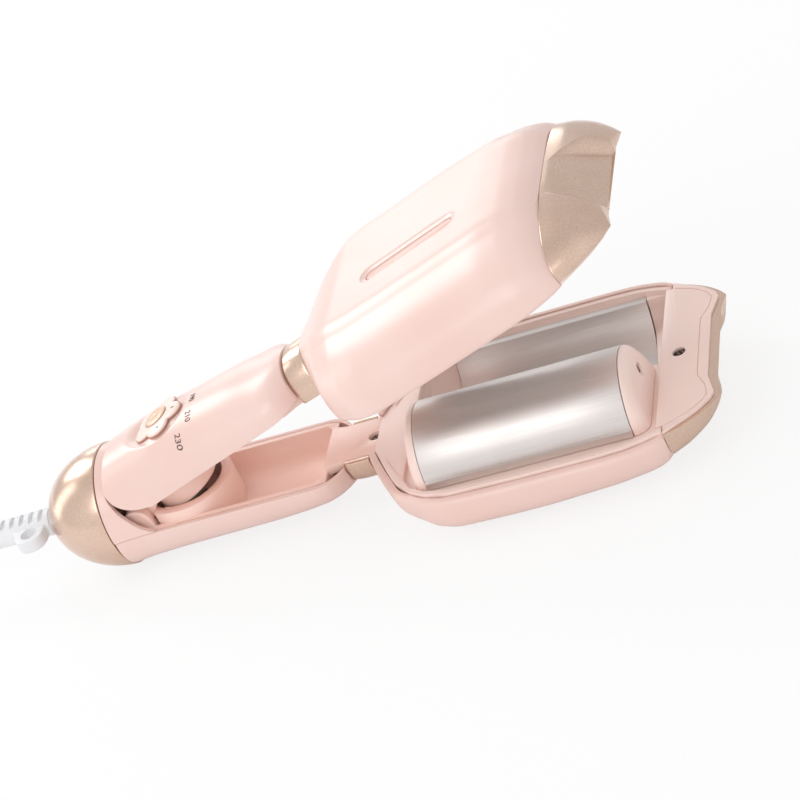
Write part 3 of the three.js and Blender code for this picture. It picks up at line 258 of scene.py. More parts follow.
recipes = {
    "shell": ("peachShell", mouldedPlastic, (242, 211, 202), (241, 206, 195), 0.36, 0.55),
    # the slot floor's darker peach is painted shade in the recess
    "slotPaintedShade": ("peachSlot", mouldedPlastic, (240, 198, 186), (238, 192, 178), 0.36, 0.5),
    "petal": ("petalCream", mouldedPlastic, (250, 230, 220), (248, 224, 213), 0.36, 0.5),
    # the liner's own peach, raised lighter as painted light in the hollows it lines
    "inner": ("salmonLiner", mouldedPlastic, (254, 222, 210), (253, 215, 201), 0.34, 0.25),
    # lighter copy of the shell's peach: painted light on the jaw frame and barrel plugs, which the upper head
    # shades
    "frame": ("peachFrame", mouldedPlastic, (251, 227, 218), (250, 222, 212), 0.38, 0.45),
    "gold": ("champagneTrim", champagneMetal, (230, 202, 184), (204, 170, 148), 0.24),
    "disc": ("champagneDisc", champagneMetal, (222, 192, 170), (200, 166, 142), 0.42),
    "plate": ("titaniumPlate", brushedPlate, (228, 222, 219), (213, 206, 202), 0.4),
    "steel": ("springSteel", wornSteel, (168, 166, 164), 0.34),
    "screw": ("screwSteel", wornSteel, (150, 128, 116), 0.4),
    "alloy": ("heaterAlloy", wornSteel, (188, 190, 194), 0.5),
    "dark": ("blackFittings", cordPlastic, (44, 44, 46), (62, 60, 60)),
    "cord": ("whiteCord", cordPlastic, (236, 236, 238), (222, 222, 226)),
    "board": ("circuitBoard", circuitBoard),
    "ink": ("greyInk", printAndShadowInk, (96, 76, 72)),
    # darker brown band round the petals' base: painted shadow
    "outline": ("petalEdge", printAndShadowInk, (196, 140, 118)),
}
finishes = {key: makeMaterial(*recipe) for key, recipe in recipes.items()}
print("finishes made:", len(finishes))


# Mesh helpers, all in millimetres until a piece is placed
def smoothThrough(knots, values, at):
    # Curve through the rows that never swings past them
    knots = np.asarray(knots, float)
    values = np.asarray(values, float)
    at = np.clip(np.asarray(at, float), knots[0], knots[-1])
    step = np.diff(knots)
    slope = np.diff(values) / step
    lean = np.zeros_like(values)
    lean[0], lean[-1] = slope[0], slope[-1]
    product = slope[:-1] * slope[1:]
    total = slope[:-1] + slope[1:]
    lean[1:-1] = np.where(product > 0, 2 * product / np.where(total == 0, 1, total), 0)
    k = np.clip(np.searchsorted(knots, at, side="right") - 1, 0, len(step) - 1)
    t = (at - knots[k]) / step[k]
    return (
        values[k] * (1 + 2 * t) * (1 - t) ** 2
        + lean[k] * step[k] * t * (1 - t) ** 2
        + values[k + 1] * t * t * (3 - 2 * t)
        + lean[k + 1] * step[k] * t * t * (t - 1)
    )


def ease(value, low, high):
    t = np.clip((np.asarray(value, float) - low) / (high - low), 0, 1)
    return t * t * (3 - 2 * t)


def softMin(first, second, reach):
    blend = np.clip(0.5 + 0.5 * (second - first) / reach, 0, 1)
    return second + (first - second) * blend - reach * blend * (1 - blend)


# A profile is rows of [x, half width, depth, squareness on the barrel side, on the groove side]
def bowlSurface(profile, x, turns, rim, drawIn=0.0, flatten=False):
    rows = np.array(profile, float)
    half, depth, barrelSide, grooveSide = (smoothThrough(rows[:, 0], rows[:, n], x) for n in range(1, 5))
    power = 2 / np.where(turns > pi / 2, barrelSide, grooveSide)
    cosine, sine = np.cos(turns), np.clip(np.sin(turns), 0, 1)
    across = np.sign(cosine) * np.abs(cosine) ** power
    down = sine ** power
    if flatten:
        down = down + (1 - down) * ease(down, 0.9, 0.975)
    return np.stack([x + 0 * turns, (half - drawIn) * across, rim - (depth - drawIn + rim) * down], -1)


def evenTurns(profile, x, rim, count):
    # Turns that part one section into equal lengths
    dense = np.linspace(0, pi, 6001)
    section = bowlSurface(profile, np.full(dense.shape, float(x)), dense, rim)
    length = np.concatenate([[0], np.cumsum(np.linalg.norm(np.diff(section, axis=0), axis=1))])
    turns = np.interp(np.linspace(0, length[-1], count + 1), length, dense)
    turns[0], turns[-1] = 0, pi
    return turns[None, :]


def outward(bm):
    bmesh.ops.recalc_face_normals(bm, faces=bm.faces)


def moved(bm, matrix):
    bmesh.ops.transform(bm, matrix=matrix, verts=bm.verts)
    return bm


def loft(rings, ends=True, loop=False):
    # Skin over rings of points; a ring of one point closes with a fan
    bm = bmesh.new()
    rings = [[bm.verts.new(point) for point in ring] for ring in rings]
    pairs = list(zip(rings, rings[1:] + rings[:1]))
    for near, far in pairs if loop else pairs[:-1]:
        for k in range(max(len(near), len(far))):
            n = k + 1
            corners = [near[k % len(near)], near[n % len(near)], far[n % len(far)], far[k % len(far)]]
            bm.faces.new(list(dict.fromkeys(corners)))
    if ends:
        bm.faces.new(rings[0][::-1])
        bm.faces.new(rings[-1])
    outward(bm)
    return bm


def shellMesh(outer, inner):
    # Closed wall between two grids of points with the same rows and columns
    bm = bmesh.new()
    out, ins = [[[bm.verts.new(point) for point in row] for row in grid] for grid in (outer, inner)]
    rows, columns = range(len(out) - 1), range(len(out[0]) - 1)
    for i in rows:
        for k in columns:
            bm.faces.new([out[i][k], out[i + 1][k], out[i + 1][k + 1], out[i][k + 1]])
            bm.faces.new([ins[i][k], ins[i][k + 1], ins[i + 1][k + 1], ins[i + 1][k]])
        bm.faces.new([out[i][0], ins[i][0], ins[i + 1][0], out[i + 1][0]])
        bm.faces.new([out[i][-1], out[i + 1][-1], ins[i + 1][-1], ins[i][-1]])
    for k in columns:
        bm.faces.new([out[0][k], out[0][k + 1], ins[0][k + 1], ins[0][k]])
        bm.faces.new([out[-1][k], ins[-1][k], ins[-1][k + 1], out[-1][k + 1]])
    return bm


def prismMesh(outline, fromX, toX, steps=1):
    # Closed [y, z] outline drawn along X
    return loft([[(x, y, z) for y, z in outline] for x in np.linspace(fromX, toX, steps + 1)])


def slabMesh(outline, bottom, top):
    # Closed [x, y] outline drawn along Z
    return loft([[(x, y, z) for x, y in outline] for z in (bottom, top)])


def latheMesh(profile, sides, axis="x", centre=(0, 0, 0)):
    # [along, radius] points turned about an axis; ends on the axis close with a point
    angles = [2 * pi * k / sides for k in range(sides)]
    rings = [[(along, radius * cos(a), radius * sin(a)) for a in angles] if radius > 1e-6
             else [(along, 0, 0)] for along, radius in profile]
    bm = loft(rings, False, min(profile[0][1], profile[-1][1]) > 1e-6)
    spin = Matrix.Rotation(-pi / 2, 4, "Y") if axis == "z" else Matrix.Identity(4)
    return moved(bm, Matrix.Translation(centre) @ spin)


def rod(low, high, radius, sides, axis, centre):
    return latheMesh([(low, 0), (low, radius), (high, radius), (high, 0)], sides, axis, centre)


def boxMesh(low, high):
    bm = bmesh.new()
    bmesh.ops.create_cube(bm, size=1)
    low, high = Vector(low), Vector(high)
    return moved(bm, Matrix.Translation((low + high) / 2) @ Matrix.Diagonal((*(high - low), 1)))


def soften(bm, width, segments=2, angle=50, where=None):
    # Rounds the edges that are sharper than an angle
    outward(bm)
    edges = [e for e in bm.edges if len(e.link_faces) == 2
             and e.calc_face_angle(0) > radians(angle) and (where is None or where(e))]
    bmesh.ops.bevel(bm, geom=edges, offset=width, offset_type="OFFSET", segments=segments,
                    profile=0.5, affect="EDGES", clamp_overlap=True)
    return bm


def newObject(name, bm):
    mesh = bpy.data.meshes.new(name)
    outward(bm)
    bm.to_mesh(mesh)
    bm.free()
    made = bpy.data.objects.new(name, mesh)
    scene.collection.objects.link(made)
    return made


def takeMesh(made, *tools):
    # The evaluated mesh of a throwaway object as a bmesh
    mesh = bpy.data.meshes.new_from_object(made.evaluated_get(bpy.context.evaluated_depsgraph_get()))
    bm = bmesh.new()
    bm.from_mesh(mesh)
    bpy.data.meshes.remove(mesh)
    for old in (made, *tools):
        data = old.data
        bpy.data.objects.remove(old)
        if data.id_type == "MESH":
            bpy.data.meshes.remove(data)
    return bm


def carve(bm, cutters, operation="DIFFERENCE"):
    base = newObject("scratch", bm)
    tools = [newObject("scratch", cutter) for cutter in cutters]
    for tool in tools:
        cut = base.modifiers.new("cut", "BOOLEAN")
        cut.operation = operation
        cut.solver = "EXACT"
        cut.object = tool
    return takeMesh(base, *tools)


def joinMeshes(parts):
    whole = bmesh.new()
    for bm in parts:
        mesh = bpy.data.meshes.new("part")
        bm.to_mesh(mesh)
        bm.free()
        whole.from_mesh(mesh)
        bpy.data.meshes.remove(mesh)
    return whole


def addPiece(name, bm, side, slot, finish, sharpAngle, *stands):
    # Places a mesh in the row frame as one finished piece
    moved(bm, places[side])
    outward(bm)
    for face in bm.faces:
        face.smooth = True
    for edge in bm.edges:
        edge.smooth = len(edge.link_faces) != 2 or edge.calc_face_angle(0) < radians(sharpAngle)
    made = newObject(name, bm)
    made.data.materials.append(finishes[finish])
    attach(made, bodies[side])
    if stands:
        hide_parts(*stands)
    return made


def copyOfNode(node, side):
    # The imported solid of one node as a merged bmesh, laid into its arm
    bm = bmesh.new()
    bm.from_mesh(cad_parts[node].data)
    bmesh.ops.remove_doubles(bm, verts=bm.verts, dist=1e-6)
    bmesh.ops.dissolve_limit(bm, angle_limit=radians(0.6), verts=bm.verts, edges=bm.edges)
    return moved(bm, places[side].inverted())


def arcPoints(centreU, centreV, radius, start, end, steps):
    angles = np.radians(np.linspace(start, end, steps + 1))
    return [(centreU + radius * cos(a), centreV + radius * sin(a)) for a in angles]


def roundedBox(half, high, corner, centre=(0, 0)):
    points = []
    for k, (su, sv) in enumerate(((1, 1), (-1, 1), (-1, -1), (1, -1))):
        points += arcPoints(centre[0] + su * (half - corner), centre[1] + sv * (high - corner), corner,
                            90 * k, 90 * k + 90, 6)
    return points


def grow(name, build, values, finish, points=((0, 0, 0),)):
    # Runs a geometry tree with named inputs on loose points, and gives its result as a bmesh
    tree = bpy.data.node_groups.get(name)
    if not tree:
        tree = bpy.data.node_groups.new(name, "GeometryNodeTree")
        for way in ("INPUT", "OUTPUT"):
            tree.interface.new_socket("Geometry", in_out=way, socket_type="NodeSocketGeometry")
        for label, value in values.items():
            kind = "NodeSocketInt" if isinstance(value, int) else "NodeSocketFloat"
            tree.interface.new_socket(label, in_out="INPUT", socket_type=kind).default_value = value
        pick = {socket.name: Wire(tree, socket) for socket in tree.nodes.new("NodeGroupInput").outputs}
        real = addNode(tree, "GeometryNodeRealizeInstances", {"Geometry": build(tree, pick)})
        dressed = addNode(tree, "GeometryNodeSetMaterial", {"Geometry": real, "Material": finishes[finish]})
        addNode(tree, "NodeGroupOutput", {0: dressed})
    mesh = bpy.data.meshes.new("seed")
    mesh.from_pydata(points, [], [])
    seed = bpy.data.objects.new("seed", mesh)
    scene.collection.objects.link(seed)
    modifier = seed.modifiers.new("grow", "NODES")
    modifier.node_group = tree
    for item in tree.interface.items_tree:
        if item.in_out == "INPUT" and item.name in values:
            modifier[item.identifier] = values[item.name]
    return takeMesh(seed)


def combine(tree, x, y, z):
    return addNode(tree, "ShaderNodeCombineXYZ", {0: x, 1: y, 2: z})


placeCamera()


# Cord: out of the strain relief, down to the surface, into its coil, and on to the plug
cordSizes = {
    "radius": 2.6, "startX": -78.6, "coilStartX": -155.0, "coilPitch": 5.75, "coilOuter": 42.5,
    "coilTurns": 8, "lift": 1.4, "seam": 0.3, "tail": 38.0, "sides": 16, "plugHalfThickness": 8.0,
}


def coilPoint(share):
    c = cordSizes
    half = c["coilTurns"] / 2
    turn = share * c["coilTurns"]
    climb = min(max((turn - half + 0.25) / 0.5, 0), 1)
    radius = c["coilOuter"] - c["coilPitch"] * min(turn, half) + c["coilPitch"] * max(turn - half, 0)
    angle = -pi / 2 - 2 * pi * turn
    bottom = -arm["restDepth"] + c["lift"] + c["radius"]
    return Vector((
        c["coilStartX"] - c["seam"] - 2 * c["radius"] + radius * cos(angle),
        c["coilOuter"] + radius * sin(angle),
        bottom + c["coilPitch"] * climb * climb * (3 - 2 * climb),
    ))


def throughPoints(points, steps=8):
    # Centripetal curve through given points
    pts = [Vector(p) for p in points]
    pts = [2 * pts[0] - pts[1], *pts, 2 * pts[-1] - pts[-2]]
    line = []
    for a, b, c, d in zip(pts, pts[1:], pts[2:], pts[3:]):
        t0, t1 = 0.0, (b - a).length ** 0.5
        t2 = t1 + (c - b).length ** 0.5
        t3 = t2 + (d - c).length ** 0.5
        for k in range(steps):
            t = t1 + (t2 - t1) * k / steps
            ab = a.lerp(b, (t - t0) / (t1 - t0))
            bc = b.lerp(c, (t - t1) / (t2 - t1))
            cd = c.lerp(d, (t - t2) / (t3 - t2))
            early = ab.lerp(bc, (t - t0) / (t2 - t0))
            late = bc.lerp(cd, (t - t1) / (t3 - t1))
            line.append(early.lerp(late, (t - t1) / (t2 - t1)))
    return [*line, pts[-2]]


def cordRoute():
    c = cordSizes
    bottom = -arm["restDepth"] + c["lift"] + c["radius"]
    out = throughPoints([(c["startX"], 0, 0), (-92, 0, -0.6), (-112, 0, -7.5), (-130, 0, -15.6),
                         (-144, 0, bottom + 0.3), (c["coilStartX"], 0, bottom)])
    coil = [coilPoint(k / 640) for k in range(641)]
    end = coil[-1]
    tailX = end.x - 2 * c["radius"] - c["seam"]
    plugZ = -arm["restDepth"] + c["plugHalfThickness"]
    tail = throughPoints([(tailX, end.y, end.z), (tailX - c["tail"] * 0.3, end.y, end.z - 0.2),
                          (tailX - c["tail"] * 0.7, end.y, plugZ + 0.2), (tailX - c["tail"], end.y, plugZ)])
    line = []
    for point in out + coil + tail:
        if not line or (point - line[-1]).length > 0.6:
            line.append(point)
    return line


def makeCord():
    # Round tube along the route, carried without twist
    line = cordRoute()
    rings = []
    side = Vector((0, 1, 0))
    turns = [2 * pi * n / cordSizes["sides"] for n in range(cordSizes["sides"])]
    for k, point in enumerate(line):
        ahead = (line[min(k + 1, len(line) - 1)] - line[max(k - 1, 0)]).normalized()
        side = (side - ahead * side.dot(ahead)).normalized()
        other = ahead.cross(side)
        rings.append([point + cordSizes["radius"] * (side * cos(a) + other * sin(a)) for a in turns])
    made = addPiece("mains_cord", loft(rings), "lower", "cord", "cord", 60,
                    "power_cord", "cord_coil", "plug_cord")
    path = [tuple(lowerPlace @ point) for point in line]
    length = sum((Vector(b) - Vector(a)).length for a, b in zip(path, path[1:]))
    return made, path, length, line[-1]


plug = {
    "length": 36.0, "halfWidth": 12.5, "taper": 12.0,
    "pinRadius": 2.0, "pinLength": 19.0, "pinSpacing": 19.0,
}


def makePlug(end):
    thick, half = cordSizes["plugHalfThickness"], plug["halfWidth"]
    rear = cordSizes["radius"] + 2
    front = end.x - cordSizes["seam"]
    broad = front - plug["taper"]
    stations = [
        (front, rear + 1, rear, 3.4),
        (front - 4, rear + 2.4, rear + 0.9, 3.6),
        (broad, half - 0.2, thick - 0.1, 4.2),
        (broad - 6, half, thick, 4.4),
        (front - plug["length"], half, thick, 4.4),
    ]
    bm = loft([[(x, y, z) for y, z in roundedBox(wide, high, corner)] for x, wide, high, corner in stations])
    bm = moved(soften(bm, 1.2, 4, 40), Matrix.Translation((0, end.y, end.z)))
    grips = [rod(-10, 10, 1.1, 20, "z", (broad - 6 - 4 * k, end.y + side * (half + 0.3), end.z))
             for k in range(4) for side in (-1, 1)]
    made = [addPiece("plug_moulding", carve(bm, grips), "lower", "cord", "cord", 32, "plug_body")]
    start = front - plug["length"] - cordSizes["seam"]
    stop, radius = start - plug["pinLength"], plug["pinRadius"]
    for side, node in ((-1, "plug_pin_near"), (1, "plug_pin_far")):
        bm = latheMesh([(start, 0), (start, radius), (stop + 1.4, radius), (stop + 0.5, radius * 0.8),
                        (stop, radius * 0.4), (stop, 0)], 32, "x",
                       (0, end.y + side * plug["pinSpacing"] / 2, end.z))
        made.append(addPiece(node + "_metal", bm, "lower", "steel", "steel", 50, node))
    return made


tie = {"width": 12.0, "thickness": 1.0, "room": 1.0, "corner": 3.0}


def makeTie():
    c = cordSizes
    low = -arm["restDepth"] + c["lift"] - c["seam"]
    high = low + 2 * c["radius"] + c["coilPitch"] + 2 * c["seam"]
    near = 2 * c["coilOuter"] - c["coilPitch"] * c["coilTurns"] / 2 - c["radius"] - tie["room"]
    far = 2 * c["coilOuter"] + c["radius"] + tie["room"]
    middle = c["coilStartX"] - c["seam"] - 2 * c["radius"]

    def loop(grown, reach):
        outline = roundedBox((far - near) / 2 + grown, (high - low) / 2 + grown, tie["corner"] + grown,
                             ((near + far) / 2, (low + high) / 2))
        return prismMesh(outline, middle - reach, middle + reach)
    bm = carve(loop(tie["thickness"], tie["width"] / 2), [loop(0, tie["width"])])
    return addPiece("coil_strap", soften(bm, 0.3, 2), "lower", "dark", "dark", 35, "cord_tie")


mainsCord, cordPath, cordLength, cordEnd = makeCord()
plugPieces = makePlug(cordEnd)
strap = makeTie()
print("cord made, length", round(cordLength, 3))


# Head shell: the deep outer moulding of each jaw
head = {
    "halfWidth": 51.2, "wall": 2.5,
    # distance from the head's rear or front end, narrower by, shallower by, squareness
    "rear": [
        (0, 37.6, 6.6, 2.2, 2.2), (3.4, 29.7, 5.6, 2.3, 2.25), (8.3, 19.7, 3.6, 2.5, 2.3),
        (12.7, 12.3, 2.0, 2.7, 2.35), (19, 7.6, 0.7, 3, 2.4), (25, 3.5, 0, 3.3, 2.4), (34, 0.8, 0, 3.5, 2.45),
    ],
    "front": [
        (52, 0, 0, 3.5, 2.45), (24, 0, 0, 3.1, 2.45), (14, 0.6, 0.6, 3, 2.4), (6.8, 2.2, 2.3, 3.3, 2.35),
        (2.6, 3.8, 4.8, 3.7, 2.3), (0, 5.7, 7.5, 4, 2.25),
    ],
    "neckShift": {"lower": 0.0, "upper": 2.4},
    "shoulderSwell": {"lower": 0.0, "upper": 2.4},
    # how much squarer the barrel's side gets
    "squarer": {"lower": 1.0, "upper": 1.42},
    # near rim of the lower head: drawn in by, over this height, and lowered by
    "rimRoll": {"lower": (2.1, 4.6), "upper": (1.2, 1.2)},
    "rimDrop": {"lower": 2.0, "upper": 0.0},
    "rimRadius": 0.25,
}
slot = {"x": 160.5, "length": 43.0, "width": 9.6, "aside": 1.5, "depth": 1.5, "roll": 1.7, "line": 0.5}


def headProfile(side):
    rows = []
    more = head["squarer"][side] - 1
    for end, reach in (("rear", 19), ("front", 24)):
        for along, narrow, shallow, nearSide, farSide in head[end]:
            late = head["neckShift"][side] * max(0, 1 - along / 20)
            x = arm["headStart"] + along + late if end == "rear" else arm["headEnd"] - along
            rows.append((x, head["halfWidth"] - narrow, arm["restDepth"] - shallow,
                         nearSide * (1 + more * min(along / reach, 1)), farSide))
    return rows


def pill(grow, height):
    # The slot's outline at one height, grown by an amount
    half, radius = (slot["length"] - slot["width"]) / 2, slot["width"] / 2 + grow
    turned = arcPoints(half, 0, radius, -90, 90, 14) + arcPoints(-half, 0, radius, 90, 270, 14)
    return [(slot["x"] + u, slot["aside"] + v, height - arm["restDepth"]) for u, v in turned]


def makeSlot(side):
    # Pill recess with a rolled-in edge into the shell's flat outside, and a darker inlay on its floor that is
    # painted shade in the recess
    roll, depth = slot["roll"], slot["depth"]
    levels = [(0.3, -1.0), (0.28, 0.0)]
    levels += [(-roll * (k / 8) ** 1.2, 0.12 + 0.78 * (k / 8) ** 0.8) for k in range(9)]
    levels += [(-roll - 0.12, depth - 0.05), (-roll - 0.2, depth)]
    # a darker sheet laid on the recess floor paints its shade
    shadeInlay = loft([pill(-roll - slot["line"], height) for height in (depth - 0.45, depth + 0.3)])
    addPiece(f"{side}_slot_inlay", soften(shadeInlay, 0.2, 2), side, "shell", "slotPaintedShade", 40)
    return loft([pill(grown, deep) for grown, deep in levels])


def makeHeadShell(side):
    profile = headProfile(side)
    turns = evenTurns(profile, 165, 0, 150)
    start, end = arm["headStart"] + head["neckShift"][side], arm["headEnd"]
    x = np.concatenate([start + np.linspace(0, 14, 26)[:-1], np.linspace(start + 14, start + 36, 24)[:-1],
                        np.linspace(start + 36, end - 24, 30)[:-1], np.linspace(end - 24, end, 34)])[:, None]
    outer = bowlSurface(profile, x, turns, 0, 0, True)
    inner = bowlSurface(profile, x, turns, 0, head["wall"] + 0.15, True)
    inner[..., 0] = x + head["wall"] * 0.8 * (1 - ease(x, arm["headStart"] + 8, arm["headStart"] + 22))
    for grid in (outer, inner):
        # fuller rear shoulder on the barrel's side
        along = grid[..., 0] - arm["headStart"]
        amount = head["shoulderSwell"][side] * ease(along, 1, 11) * (1 - ease(along, 22, 42))
        grid[..., 1] -= amount * ease(-grid[..., 1], 2, 30)
    across, down = head["rimRoll"][side]
    rise = np.clip((outer[..., 2] + down) / down, 0, 1)
    share = np.where(outer[..., 1] < 0, 1, 0.45)
    outer[..., 1] -= np.sign(outer[..., 1]) * share * across * (1 - np.sqrt(1 - rise ** 2))
    for grid in (outer, inner):
        grid[..., 2] -= head["rimDrop"][side] * ease(grid[..., 2], -5, 0) * ease(-grid[..., 1], 4, 36)
    bm = carve(soften(shellMesh(outer, inner), head["rimRadius"], 2, 55), [makeSlot(side)])
    addPiece(f"{side}_head_cover", bm, side, "shell", "shell", 42, f"{side}_head_shell")


# Neck ring: gold band around the neck, swelling towards the head
ring = {
    "halfWidth": 13.5, "depth": {"lower": 14.4, "upper": 16.7},
    "wall": 1.8, "rim": -1.2, "squareness": 2.25,
}


def makeNeckRing(side):
    start, end = arm["ringStart"] + head["neckShift"][side], arm["ringEnd"] + head["neckShift"][side]
    middle = (start + end) / 2

    def rows(*stations):
        q = ring["squareness"]
        return [(x, ring["halfWidth"] - less, ring["depth"][side] - less, q, q) for x, less in stations]
    profile = rows((start, 0.9), (start + 1.2, 0.25), (middle, 0), (end - 1.0, 0.1), (end, 0.5))
    x = np.linspace(start, end, 33)[:, None]
    turns = evenTurns(profile, middle, ring["rim"], 72)
    outer = bowlSurface(profile, x, turns, ring["rim"])
    inner = bowlSurface(rows((start, 0.5), (end, 0.5)), x, turns, ring["rim"], ring["wall"])
    bm = soften(shellMesh(outer, inner), 0.25, 2, 55)
    addPiece(f"{side}_neck_band", bm, side, "gold_trim", "gold", 40, f"{side}_neck_ring")


# Tip cap: gold end with two prongs and a facet sunk between them
tip = {
    # distance from the seam, narrower by, shallower by, squareness
    "rows": [(0, 0, 0, 4, 2.25), (5.2, 2.1, 0.9, 3.6, 2.3), (8.0, 3.7, 1.7, 3.4, 2.4),
             (12.8, 7.1, 3.5, 3, 2.6), (17.6, 11.9, 8.1, 2.6, 2.6)],
    "shy": 0.25, "prongSpan": 30.0, "notchSpan": 19.5, "notchDepth": 1.8, "facetSpan": 13.0,
    "facetFrom": 5.2, "rim": -1.5, "fold": 4.4, "wallSlope": 2.3,
}


def tipProfile():
    root = headProfile("lower")[-1]
    rows = [(arm["tipStart"] + along, root[1] - narrow, root[2] - shallow, nearSide, farSide)
            for along, narrow, shallow, nearSide, farSide in tip["rows"]]
    return [*rows, (arm["tipEnd"] - tip["shy"], tip["prongSpan"], 3.4, 2.2, 2.2)]


def facetDepth(x, y):
    # Depth of the sunk facet, rising steeply past its sides
    crest = arm["tipStart"] + tip["facetFrom"]
    notch = arm["tipEnd"] - tip["notchDepth"]
    share = np.minimum((x - crest) / (notch - crest), 1)
    edge = tip["facetSpan"] + (tip["notchSpan"] - tip["facetSpan"]) * share
    return tipProfile()[1][2] * (1 - share) + np.maximum(np.abs(y) - edge + 1.2, 0) * tip["wallSlope"]


def makeTipCap(side):
    profile = tipProfile()
    rim, start, end = tip["rim"], arm["tipStart"], arm["tipEnd"] - tip["shy"]
    turns = evenTurns(profile, start + 4, rim, 220)
    span = np.abs(bowlSurface(profile, np.full(turns.shape, end), turns, rim)[..., 1])
    notch = arm["tipEnd"] - tip["notchDepth"]
    slant = np.clip((span - tip["notchSpan"]) / (tip["prongSpan"] - tip["notchSpan"]), 0, 1)
    x = start + (notch + (end - notch) * slant - start) * np.linspace(0, 1, 72)[:, None]
    grid = bowlSurface(profile, x, np.broadcast_to(turns, x.shape), rim)
    sunk = softMin(-grid[..., 2], facetDepth(grid[..., 0], grid[..., 1]) + 0.1, tip["fold"])
    share = ease(grid[..., 0], start, start + 3.0)
    grid[..., 2] = -np.maximum(-grid[..., 2] * (1 - share) + sunk * share, 0.05 - rim)
    bm = bmesh.new()
    verts = [[bm.verts.new(point) for point in row] for row in grid]
    left, right = [[bm.verts.new((*row[k][:2], rim)) for row in grid] for k in (0, -1)]
    front = [left[-1], *[bm.verts.new((*p[:2], rim)) for p in grid[-1][1:-1]], right[-1]]
    rows, columns = range(len(verts) - 1), range(len(front) - 1)
    for i in rows:
        for k in columns:
            bm.faces.new([verts[i][k], verts[i + 1][k], verts[i + 1][k + 1], verts[i][k + 1]])
        bm.faces.new([verts[i][0], left[i], left[i + 1], verts[i + 1][0]])
        bm.faces.new([verts[i][-1], verts[i + 1][-1], right[i + 1], right[i]])
    for k in columns:
        bm.faces.new([verts[-1][k], front[k], front[k + 1], verts[-1][k + 1]])
    bm.faces.new(left + front[1:-1] + right[::-1])
    bm.faces.new([left[0], *verts[0], right[0]])
    bmesh.ops.remove_doubles(bm, verts=bm.verts, dist=1e-4)
    addPiece(f"{side}_tip_prongs", soften(bm, 0.3, 2, 60), side, "gold_trim", "gold", 34, f"{side}_tip_cap")


# Heated plates: a barrel of bent sheet with a foot, and a groove of bent sheet with a lip
plates = {
    "level": -2.3, "barrelRadius": 20.1, "barrelY": -20.5, "grooveZ": 3.0, "sheet": 1.1,
    "foot": 0.6, "footRise": 2.7, "footTurn": 9.0, "grooveRadius": 21.3, "grooveFrom": 206.0,
    "grooveTo": 345.0, "lip": 1.8, "edge": 0.25,
}


def makePlates(side):
    p = plates
    y, level, radius, sheet = p["barrelY"], p["level"], p["barrelRadius"], p["sheet"]
    foot, turn = y - radius - p["foot"], 180 - p["footTurn"]
    barrel = [(foot, level), (foot + 0.05, level + p["footRise"]), *arcPoints(y, level, radius, turn, 0, 72),
              *arcPoints(y, level, radius - sheet, 0, turn, 72), (foot + sheet * 1.1, level)]
    reach = p["grooveRadius"]
    over = arcPoints(-y, p["grooveZ"], reach, p["grooveTo"], p["grooveFrom"], 60)
    under = arcPoints(-y, p["grooveZ"], reach + sheet, p["grooveFrom"], p["grooveTo"], 60)
    lip = reach + sheet + p["lip"] - y
    groove = [(lip, level), (over[0][0] + 0.4, level), *over, *under, (lip, level - sheet)]
    for name, outline, node in (("barrel_plate", barrel, "barrel"), ("groove_sheet", groove, "groove_plate")):
        bm = soften(prismMesh(outline, arm["plateFrom"], arm["plateTo"], 4), p["edge"], 2, 60)
        addPiece(f"{side}_{name}", bm, side, "hot_plate", "plate", 32, f"{side}_{node}")


# Barrel end plugs, rounded towards their free face, the front one sunk for a screw
caps = {
    "front": {"length": 5.6, "slope": 0.20},
    "rear": {"length": 5.0, "slope": 0.05},
    "faceRadius": 15.6,
    "screwAt": (-15.2, 7.0),
    "sinkRadius": 2.2,
}


def capFace(end, z):
    # How far a plug's free face stands from its plate at one height
    return caps[end]["length"] - caps[end]["slope"] * (z - plates["level"])


def makeBarrelCap(side, end):
    sign, start = (1, arm["plateTo"] + 0.3) if end == "front" else (-1, arm["plateFrom"] - 0.3)
    radius = plates["barrelRadius"] - 0.15
    rows = [(-0.02, radius - 0.05)]
    for k in range(21):
        turn = pi / 2 * k / 20
        rows.append((sin(turn) ** 0.9, radius - (radius - caps["faceRadius"] + 0.6) * (1 - cos(turn))))
    rows.append((1.0, caps["faceRadius"] - 1.2))
    bm = loft([[(start + sign * share * capFace(end, z), y, z)
                for y, z in arcPoints(plates["barrelY"], plates["level"], reach, 0, 180, 64)]
               for share, reach in rows])
    if end == "front":
        y, z = caps["screwAt"]
        face, sink = start + capFace(end, z), caps["sinkRadius"]
        hole = [(face - 1.9, 0), (face - 1.9, sink), (face - 0.3, sink), (face + 0.5, sink + 0.5),
                (face + 3, sink + 1.5), (face + 3, 0)]
        bm = carve(bm, [latheMesh(hole, 40, "x", (0, y, z))])
    # the plug takes the lighter frame peach, which is painted light
    addPiece(f"{side}_barrel_plug_{end}", bm, side, "shell", "frame", 40, f"{side}_barrel_cap_{end}")


# Handles: half shells that line up with the dome, narrowing to the neck
handles = {
    "halfWidth": 21.5, "squareness": 2.25, "wall": 2.2,
    "lower": {
        "depth": 20.0, "rim": -2.8, "start": 0.3, "columns": 84,
        "fromDome": [(0, -1.1, -1.4), (10, 0, -0.7), (26, 0, 0)],
        "fromNeck": [(34, 0, 0.6), (20, 0, 1.5), (11, 0, 2.8), (6.6, 1.1, 3.8), (3, 4.1, 4.8), (0, 8.2, 6.0)],
    },
    "upper": {
        "depth": 24.4, "rim": -4.5, "start": 3.0, "columns": 110,
        "fromDome": [(0, 0, 0.2), (30, 0, 0.2), (38, 0, 1), (50, 0, 2.5)],
        "fromNeck": [(24, 0, 4.2), (11, 0, 6.4), (6.6, 1.1, 6.8), (3, 4.1, 7.2), (0, 8.2, 7.8)],
        "rearCurve": [(23.4, 4.4), (16.6, 7), (12.6, 10), (10.1, 13.8), (9.4, 17), (10.6, 21), (12.3, 26)],
    },
}
